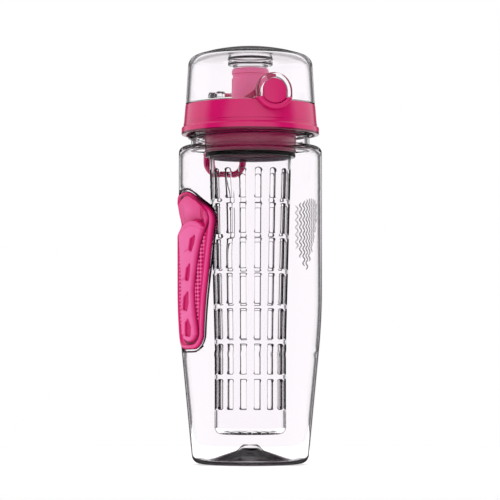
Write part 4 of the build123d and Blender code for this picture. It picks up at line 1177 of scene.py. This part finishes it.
class DOME_OT_build(bpy.types.Operator):
    """Clear flip dome with its arch, the upper half of the surround, hinge lugs and catch ledge."""

    bl_idname = "bottle.dome"
    bl_label = "Flip Dome"

    def execute(self, context):
        """The surround's back follows the dome's side a hair away from it."""
        clear = material("lid")
        grid = dome_grid()
        # The outer face gets the painted dark outline, a little stronger within 22 mm of the axis
        outside = (np.arange(len(grid)) < len(grid) // 2)[:, None]
        mark = outside * (1 + 0.1 * (np.hypot(grid[..., 0], grid[..., 1]) < 22))
        skin = Skin().grid(grid, wrap_cols=True, mark=mark)
        place(skin, "dome_shell", clear, "dome", ["flip_lid"])

        # Section of the surround: growth from the button's outline, and share of the way to its face
        section = np.array([(0.35, 0.0), (0.3, 0.08), (0.3, 0.86), (0.42, 0.95), (0.75, 1.0), (2.8, 1.0),
                            (3.25, 0.95), (3.52, 0.84), (BEZEL_W, 0.7), (BEZEL_W, 0.1), (3.5, 0.0)])
        rows = []
        for grow, share in section:
            x, z = button_path(grow, np.linspace(0, 1, 110))
            z = np.maximum(z, SPLIT_Z + GLIDE)
            back = -np.sqrt(dome_radius(z) ** 2 - x ** 2) - 0.03
            rows.append(put_y(x, z, back + (-BEZEL_FACE - back) * share))
        skin = Skin().grid(capped(np.array(rows)), wrap_rows=True)
        place(skin, "button_surround_top", clear, "dome", ["flip_lid"])

        knuckle = arc(HINGE, 3.7, -np.pi / 2, np.pi / 2, 20)
        lug = even_loop(np.vstack([knuckle, [(40.2, 239.9), (40.4, 232.6)]]), 79)
        skin = Skin()
        for low, high in ((-8.1, -2.7), (2.7, 8.1)):
            skin.grid(slab(lug, low, high, 0.35, put_x), wrap_cols=True)
        place(skin, "hinge_lugs", clear, "dome", ["flip_lid"])
        return {"FINISHED"}


class BUTTON_OT_build(bpy.types.Operator):
    """Push button with its domed cap, stem and catch arm."""

    bl_idname = "bottle.button"
    bl_label = "Push Button"

    def execute(self, context):
        """The cap's face swells a little towards its middle; the stem is a turned shape along y."""
        loop = button_loop(0.0, 120)
        middle = np.array([0.0, 227.7])
        rows = []
        for share in np.linspace(0, 1, 14):
            rows.append((middle + (loop - middle) * share * 0.94, -43.4 - 0.21 * (1 - share ** 2)))
        for turn in np.linspace(0, np.pi / 2, 5):
            ring = loop - normals_of(loop) * 0.5 * (1 - np.sin(turn))
            rows.append((ring, -43.0 - 0.4 * np.cos(turn)))
        rows += [(loop, -40.5), (middle + (loop - middle) * 0.98, -40.3), (0 * loop + middle, -40.3)]
        skin = Skin().grid(np.array([set_at(ring, y, put_y) for ring, y in rows]), wrap_cols=True)
        stem = rounded([(0.0, -40.4), (5.4, -40.4), (5.4, -29.5), (3.2, -29.5), (3.2, -36.0), (0.0, -36.0)],
                       [0, 0.1, 0.4, 0.3, 0.2, 0], 4)
        skin.grid(lathe(stem, 48)[..., [0, 2, 1]] + (0, 0, BUTTON_Z), wrap_cols=True)
        arm = rounded([(-3, 235.6), (3, 235.6), (3, 242.2), (-3, 242.2)], [0, 0, 0.6, 0.6], 4, closed=True)
        skin.grid(slab(even_loop(arm, 60), -36.6, -35.1, 0.25, put_y), wrap_cols=True)
        place(skin, "push_button", material("pink"), "button", ["latch_button"])
        return {"FINISHED"}


def coil(centre, along, up, side, radius, start, turned, pitch, count):
    """Middle line of a coil: centre, plus radius times the turning pair, plus pitch a turn."""
    way = np.sign(turned)
    t = np.linspace(0, abs(turned), count)[:, None]
    a = radians(start) + way * np.radians(t)
    out = up * np.cos(a) + side * np.sin(a)
    return centre + out * radius + along * pitch * t / 360, out


class SPRINGS_OT_build(bpy.types.Operator):
    """Latch spring and the pair of hinge springs, with the hinge pin and the loop's pins."""

    bl_idname = "bottle.springs"
    bl_label = "Springs and Pins"

    def execute(self, context):
        """Each wire is a round section carried along a coil and its legs."""
        x, y, z = np.eye(3)
        path, out = coil(np.array([0, -26.85, BUTTON_Z]), -y, z, x, 2.3, 0, 1800, 1.76, 200)
        piece = place(Skin().grid(tube(path, out, 0.3, 10), wrap_cols=True), "latch_spring_wire",
                      material("steel"), "lid", ["latch_spring"])
        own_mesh(piece)

        skin = Skin()
        for side in (-1, 1):
            centre = np.array([side * 8.85, HINGE[0], HINGE[1]])
            path, out = coil(centre, x * side, y, z, 3.15, 159, -879, 1.35, 150)
            lead_in = path[0] - path[1]
            lead_in /= np.linalg.norm(lead_in)
            front = path[0] + lead_in * np.linspace(3.2, 0.1, 8)[:, None]
            rear = path[-1] + np.array([0, 0, -1.0]) * np.linspace(0.1, 6.4, 12)[:, None]
            path = np.vstack([front, path, rear])
            out = np.vstack([np.repeat(out[:1], 8, axis=0), out, np.repeat(out[-1:], 12, axis=0)])
            skin.grid(tube(path, out, 0.45, 12), wrap_cols=True)
        place(skin, "hinge_spring_wire", material("dark"), "lid", ["hinge_springs"])

        skin = Skin().grid(slab(circle(HINGE, HINGE_PIN_R, 32), -13.2, 13.2, 0.25, put_x), wrap_cols=True)
        place(skin, "hinge_pin_rod", material("steel"), "lid", ["hinge_pin"])
        skin = Skin()
        for low, high in ((-LOOP_HALF, -4.55), (4.55, LOOP_HALF)):
            skin.grid(slab(circle(LOOP, LOOP_PIN_R, 32), low, high, 0.25, put_x), wrap_cols=True)
        place(skin, "loop_pin_pair", material("steel"), "lid", ["loop_pins"])
        return {"FINISHED"}


class LOOP_OT_build(bpy.types.Operator):
    """Carry loop with its two eyes."""

    bl_idname = "bottle.loop"
    bl_label = "Carry Loop"

    def execute(self, context):
        """A rounded-box section carried along a U, and an eye at each end."""
        line, foot, root = 12.65, 186.5, 216.5
        flat = rounded([(-line, root), (-line, foot), (line, foot), (line, root)], [0, 8.4, 8.4, 0], 16)
        path = set_at(spaced(flat, 120), LOOP[0], put_y)
        box = circle((0, 0), 1, 24)
        section = np.sign(box) * np.abs(box) ** 0.55 * (2.1, 1.8)
        lead = np.cross(np.gradient(path, axis=0), (0, 1.0, 0))
        skin = Skin().grid(tube(path, lead, 1.0, section=section), wrap_cols=True)
        outer, inner = circle(LOOP, 3.6, 48), circle(LOOP, LOOP_PIN_R + 0.05, 48)
        eased = outer - normals_of(outer) * 0.4
        for low, high in ((-LOOP_HALF, -10.55), (10.55, LOOP_HALF)):
            rows = ((outer, low + 0.4), (eased, low), (inner, low), (inner, high), (eased, high),
                    (outer, high - 0.4))
            skin.grid(np.array([set_at(loop, x, put_x) for loop, x in rows]), wrap_rows=True,
                      wrap_cols=True)
        place(skin, "carry_loop_band", material("pink"), "loop", ["carry_loop"])
        return {"FINISHED"}


# Basket

def basket_radius(z):
    """Outer radius of the basket: upright below, leaning outward above, with a soft bend between."""
    lean = (BASKET_TOP[0] - BASKET_LOW[0]) / (BASKET_TOP[1] - BASKET_LOW[1])
    soft = 6.0
    return BASKET_LOW[0] + lean * (np.logaddexp(0, (z - BASKET_LOW[1]) / soft) * soft)


def slot_cells(columns):
    """Grids of the slotted wall, one cell a slot.

    A cell runs from its slot's edge out to its own border, both walked by the same steps, on the
    outer wall, over the slot's rounded edge, and back on the inner wall. The shares say how far
    each ring lies from the slot's edge to the border, the insets how deep in the wall it is.
    """
    n_side, n_end = 10, 8
    half_cell = np.pi / columns
    w, r = SLOT_HALF, SLOT_ROUND
    turn = np.linspace(0, np.pi / 2, 4)
    square = np.vstack([np.column_stack([w - r + r * np.cos(turn), r * np.sin(turn) - r]), [[0.0, 0.0]],
                        np.column_stack([r - w - r * np.sin(turn), r * np.cos(turn) - r])])[:n_end]
    arch = arc((0, -w), w, 0, np.pi, n_end, endpoint=False)
    end = np.linspace(1, -1, n_end + 1)[:-1]
    border_a = np.concatenate([np.ones(n_side), end, -np.ones(n_side), -end]) * half_cell
    is_end = np.concatenate([np.zeros(n_side), np.ones(n_end), np.zeros(n_side), np.ones(n_end)])
    shares = np.array([1.0, 0.6, 0.3, 0.16, 0.05, 0.0, 0.0, 0.05, 0.4, 1.0])[:, None]
    inset = np.array([0, 0, 0, 0, 0, 0.2, BASKET_WALL - 0.2, *[BASKET_WALL] * 3])[:, None]
    # Marks of the rings: a painted dark outline on the outer wall, painted shade all over the slot's cut
    # face, a lighter painted outline just inside it, and more at the slot's ends
    edge = (np.array([1, 1, 1, 1, 1.4, 2, 0.9, 0.9, 0, 0.0])[:, None]
            + np.array([0, 0, 0, 0.8, 0.6, 0, 0.3, 0, 0, 0.0])[:, None] * is_end)
    for tier in range(SLOT_TIERS):
        low = SLOT_FOOT + tier * SLOT_PITCH
        high = low + SLOT_PITCH
        foot, top = low + SLOT_GAP / 2, high - SLOT_GAP / 2
        last = tier == SLOT_TIERS - 1
        up = np.linspace(foot + r, top - (w if last else r), n_side + 1)
        slot = np.vstack([np.column_stack([np.full(n_side, w), up[:-1]]),
                          (arch if last else square) + (0, top),
                          np.column_stack([np.full(n_side, -w), up[:0:-1]]), (0, foot) - square])
        side = np.linspace(low, high, n_side + 1)
        border_z = np.concatenate([side[:-1], np.full(n_end, high), side[:0:-1], np.full(n_end, low)])
        slot_a = slot[:, 0] / basket_radius(slot[:, 1])
        a = slot_a + (border_a - slot_a) * shares
        z = slot[:, 1] + (border_z - slot[:, 1]) * shares
        for column in range(columns):
            around = a + (column + 0.5) * 2 * half_cell + SLOT_TURN
            yield polar(basket_radius(z) - inset, around, z), edge


def disc_with_holes(z_low, z_high, rings, columns):
    """Grids of a flat disc with rings of round holes, one cell a hole.

    A ring is its outer and inner radius, its count of holes, their radius and their distance from
    the axis. A cell runs from its border to its hole on the lower face and back on the upper one.
    """
    for r0, r1, count, hole, ring in rings:
        n_arc, n_rad = columns // count, 4
        half = np.pi / count
        end = np.linspace(-1, 1, n_arc + 1)[:-1]
        inward = np.linspace(r1, r0, n_rad + 1)[:-1]
        outward = np.linspace(r0, r1, n_rad + 1)[:-1]
        border_a = np.concatenate([end, np.ones(n_rad), -end, -np.ones(n_rad)]) * half
        border_r = np.concatenate([np.full(n_arc, r1), inward, np.full(n_arc, r0), outward])
        bx, by = border_r * np.sin(border_a), border_r * np.cos(border_a)
        turn = np.arctan2(bx, by - ring)
        hx, hy = hole * np.sin(turn), ring + hole * np.cos(turn)
        shares = np.array([1.0, 0.4, 0.1, 0.0, 0.0, 0.1, 0.4, 1.0])[:, None]
        z = np.array([z_low] * 3 + [z_low + 0.2, z_high - 0.2] + [z_high] * 3)[:, None]
        x = hx + (bx - hx) * shares
        y = hy + (by - hy) * shares
        # Painted shade all over each hole's cut face, and a painted dark outline on the lower face round it
        edge = np.array([1, 1, 1.3, 2, 2, 1, 0, 0.0])[:, None] + 0 * x
        for k in range(count):
            c, s = np.cos(k * 2 * half), np.sin(k * 2 * half)
            yield np.stack([x * c - y * s, x * s + y * c, z + 0 * x], axis=-1), edge


class BASKET_OT_build(bpy.types.Operator):
    """Clear basket with seven tiers of slots, a flange, a neck and drain holes, and its seal."""

    bl_idname = "bottle.basket"
    bl_label = "Fruit Basket"

    def execute(self, context):
        """The slotted wall is built cell by cell; the rest is turned with the same columns."""
        columns = context.scene.bottle_sizes.slot_columns
        around = np.linspace(0, 2 * np.pi, columns * 8, endpoint=False) + SLOT_TURN
        skin = Skin()
        for cell, edge in slot_cells(columns):
            skin.grid(cell, wrap_cols=True, mark=edge)

        def turn(profile, dark=0.0):
            """Adds a profile turned round the axis, with the mark of each of its points."""
            marks = np.broadcast_to(dark, len(profile)).repeat(len(around))
            skin.grid(polar(profile[:, :1], around, profile[:, 1:]), wrap_cols=True, mark=marks)

        # Foot below the slots, outside and inside
        centre, middle_z, corner = BASKET_CORNER
        wall_r = basket_radius(SLOT_FOOT)
        foot = arc((0, 0), 1, 0, -np.pi / 2, 10)
        # The outer foot gets the painted dark outline, a little stronger
        turn(np.vstack([[(wall_r, SLOT_FOOT)], (centre, middle_z) + corner * foot]), 1.06)
        turn(np.vstack([[(wall_r - BASKET_WALL, SLOT_FOOT)],
                        (centre, middle_z) + (corner - BASKET_WALL) * foot]))

        # Flange and neck above them
        last = SLOT_FOOT + SLOT_TIERS * SLOT_PITCH
        wall_r = basket_radius(last)
        bore, neck_r, neck_top = BASKET_NECK
        upper = rounded([(wall_r, last), BASKET_TOP, (FLANGE[0], BASKET_TOP[1]), FLANGE, (neck_r, FLANGE[1]),
                         (neck_r, neck_top), (bore, neck_top), (bore, 193.0), (wall_r - BASKET_WALL, last)],
                        [0, 0.5, 0.4, 0.4, 0.3, 0.4, 0.4, 1.0, 0], 5)
        r, z = upper.T
        # The flange's rim is painted dark all over, as shade, and the rest of the profile gets the painted
        # dark outline
        turn(upper, np.where((r > BASKET_TOP[0] + 0.05) & (z < FLANGE[1] + 0.2), 2.0, 1.0))

        # Floor with its two rings of drain holes, and its middle hole
        low, high = BASKET_FLOOR
        rings = [(centre, 12.3, 16, 1.25, 15.3), (12.3, 5.4, 8, 1.6, 8.9)]
        for cell, edge in disc_with_holes(low, high, rings, columns * 8):
            skin.grid(cell, wrap_cols=True, mark=edge)
        hub = np.array([(5.4, low), (1.8, low), (1.6, low + 0.2), (1.6, high - 0.2), (1.8, high),
                        (5.4, high)])
        skin.grid(lathe(hub, columns * 8)[..., [1, 0, 2]], wrap_cols=True)
        place(skin, "fruit_basket", material("basket"), "infuser", ["infuser_basket"])

        seal_low, seal_high = neck_top + 0.05, SKIRT_STOP[1] - 0.05
        seal = [(bore, seal_low), (neck_r, seal_low), (neck_r, seal_high), (bore, seal_high)]
        place(ring_skin(seal, [0.4] * 4, 128), "basket_seal_ring", material("milky"), "basket_seal",
              ["infuser_seal"])
        return {"FINISHED"}


# Stage

# Brightness of the sky for each angle, in degrees, from the middle of the backdrop
SKY_STOPS = ((0, 1.0), (13, 1.0), (17, 0.12), (33, 0.12), (38, 1.0), (92, 1.3), (106, 0.05), (127, 0.05),
             (140, 1.0), (180, 1.35))


def studio_sky(world):
    """Sky that is white to the camera; glass and gloss see a lit backdrop between dark panels.

    The angle from the middle of the backdrop is the arc cosine of the ray along that bearing.
    Rays that come through the plastic from the other sides see no panel beyond a third of a turn.
    """
    world.use_nodes = True
    tree = world.node_tree
    n, l = tree.nodes, tree.links
    n.clear()
    out, mix = n.new("ShaderNodeOutputWorld"), n.new("ShaderNodeMixShader")
    plain, panels = n.new("ShaderNodeBackground"), n.new("ShaderNodeBackground")
    path, coord = n.new("ShaderNodeLightPath"), n.new("ShaderNodeTexCoord")
    dot = n.new("ShaderNodeVectorMath")
    dot.operation = "DOT_PRODUCT"
    dot.inputs[1].default_value = (np.cos(BACKDROP), np.sin(BACKDROP), 0)
    l.new(coord.outputs["Generated"], dot.inputs[0])
    share = math_node(tree, "DIVIDE", math_node(tree, "ARCCOSINE", dot.outputs["Value"]), np.pi)

    ramp = n.new("ShaderNodeFloatCurve")
    points = ramp.mapping.curves[0].points
    top = max(level for angle, level in SKY_STOPS)
    places = [(angle / 180.0, level / top) for angle, level in SKY_STOPS]
    points[0].location, points[-1].location = places[0], places[-1]
    for at in places[1:-1]:
        points.new(*at)
    for point in points:
        point.handle_type = "VECTOR"
    ramp.mapping.update()
    l.new(share, ramp.inputs["Value"])

    lit = math_node(tree, "MULTIPLY", ramp.outputs[0], top)
    beyond = math_node(tree, "GREATER_THAN", share, 0.33)
    through = math_node(tree, "MULTIPLY", beyond, path.outputs["Is Transmission Ray"])
    l.new(math_node(tree, "MAXIMUM", lit, through), panels.inputs["Strength"])
    panels.inputs["Color"].default_value = (1.0, 0.97, 1.0, 1)
    plain.inputs["Color"].default_value = (1, 1, 1, 1)
    l.new(path.outputs["Is Camera Ray"], mix.inputs["Fac"])
    l.new(panels.outputs[0], mix.inputs[1])
    l.new(plain.outputs[0], mix.inputs[2])
    l.new(mix.outputs[0], out.inputs["Surface"])


class STAGE_OT_build(bpy.types.Operator):
    """White floor, soft panels of light and the camera."""

    bl_idname = "bottle.stage"
    bl_label = "Stage"

    def execute(self, context):
        """The camera stands 1.54 m off, a little above the table, and looks slightly up."""
        scene = context.scene
        data = bpy.data.meshes.new("floor")
        a = np.linspace(0, 2 * np.pi, 96, endpoint=False)
        rim = np.column_stack([0.42 * np.cos(a), 0.42 * np.sin(a), 0 * a])
        data.from_pydata(rim.tolist(), [], [tuple(range(len(a)))])
        floor = bpy.data.objects.new("floor", data)
        floor.visible_glossy = False
        scene.collection.objects.link(floor)
        m = bpy.data.materials.new("floor")
        m.use_nodes = True
        s = m.node_tree.nodes["Principled BSDF"]
        s.inputs["Base Color"].default_value = (0.93, 0.93, 0.93, 1)
        s.inputs["Roughness"].default_value = 0.6
        s.inputs["Specular IOR Level"].default_value = 0.2
        s.inputs["Emission Color"].default_value = (1, 1, 1, 1)
        s.inputs["Emission Strength"].default_value = 0.4
        data.materials.append(m)

        world = bpy.data.worlds.new("studio")
        scene.world = world
        studio_sky(world)

        away = radians(-110.7)
        toward = Vector((np.cos(away), np.sin(away), 0))
        right = Vector((0.935, -0.353, 0))

        def panel(name, at, aim, size, power):
            light = bpy.data.lights.new(name, "AREA")
            light.shape = "RECTANGLE"
            light.size, light.size_y = size
            light.energy = power
            lamp = bpy.data.objects.new(name, light)
            lamp.location = at
            lamp.rotation_euler = (aim - at).to_track_quat("-Z", "Y").to_euler()
            lamp.visible_glossy = False
            lamp.visible_transmission = False
            scene.collection.objects.link(lamp)

        aim = Vector((0, 0, 0.14))
        panel("left_panel", toward * 0.5 - right * 0.9 + Vector((0, 0, 0.35)), aim, (0.5, 0.9), 2.6)
        panel("right_panel", toward * 0.45 + right * 0.95 + Vector((0, 0, 0.3)), aim, (0.4, 0.9), 2.6)
        panel("top_panel", toward * 0.3 + Vector((0, 0, 1.3)), aim, (1.0, 1.0), 7.0)

        camera = bpy.data.cameras.new("camera")
        camera.lens = 175.7
        camera.sensor_width = 36.0
        camera.clip_start = 0.01
        view = bpy.data.objects.new("camera", camera)
        reach, eye, tilt, shift = 1.539, Vector((0, 0, 0.0512)), radians(3.12), right * 0.0002
        view.location = toward * reach + eye - shift
        target = eye + Vector((0, 0, reach * np.tan(tilt))) - shift
        view.rotation_euler = (target - view.location).to_track_quat("-Z", "Y").to_euler()
        scene.collection.objects.link(view)
        scene.camera = view
        scene.view_settings.view_transform = "Standard"
        scene.cycles.max_bounces = 24
        scene.cycles.transmission_bounces = 24
        scene.cycles.transparent_max_bounces = 16
        return {"FINISHED"}


class VIEW3D_PT_bottle(bpy.types.Panel):
    """Sidebar panel with the bottle's settings and steps."""

    bl_label = "Infuser Bottle"
    bl_space_type = "VIEW_3D"
    bl_region_type = "UI"
    bl_category = "Bottle"

    def draw(self, context):
        """Lists the sizes, the colours and every step."""
        layout = self.layout
        for owner in (context.scene.bottle_sizes, context.scene.bottle_colours):
            for key in owner.__annotations__:
                layout.prop(owner, key)
        for step in STEPS:
            layout.operator(step.bl_idname)


STEPS = (BODY_OT_build, PALM_OT_build, GRIP_OT_build, COLLAR_OT_build, DECK_OT_build, SPOUT_OT_build,
         DOME_OT_build, BUTTON_OT_build, SPRINGS_OT_build, LOOP_OT_build, BASKET_OT_build, STAGE_OT_build)
CLASSES = (BottleSizes, BottleColours, *STEPS, VIEW3D_PT_bottle)


def register():
    """Registers the classes and hangs the settings on the scene."""
    for cls in CLASSES:
        bpy.utils.register_class(cls)
    bpy.types.Scene.bottle_sizes = PointerProperty(type=BottleSizes)
    bpy.types.Scene.bottle_colours = PointerProperty(type=BottleColours)


def unregister():
    """Takes the settings off the scene and unregisters the classes."""
    del bpy.types.Scene.bottle_colours
    del bpy.types.Scene.bottle_sizes
    for cls in reversed(CLASSES):
        bpy.utils.unregister_class(cls)


def main():
    """Runs every step in order."""
    register()
    bpy.ops.bottle.body()
    bpy.ops.bottle.palm()
    bpy.ops.bottle.grip()
    bpy.ops.bottle.collar()
    bpy.ops.bottle.deck()
    bpy.ops.bottle.spout()
    bpy.ops.bottle.dome()
    bpy.ops.bottle.button()
    bpy.ops.bottle.springs()
    bpy.ops.bottle.loop()
    bpy.ops.bottle.basket()
    bpy.ops.bottle.stage()


if __name__ == "__main__":
    main()
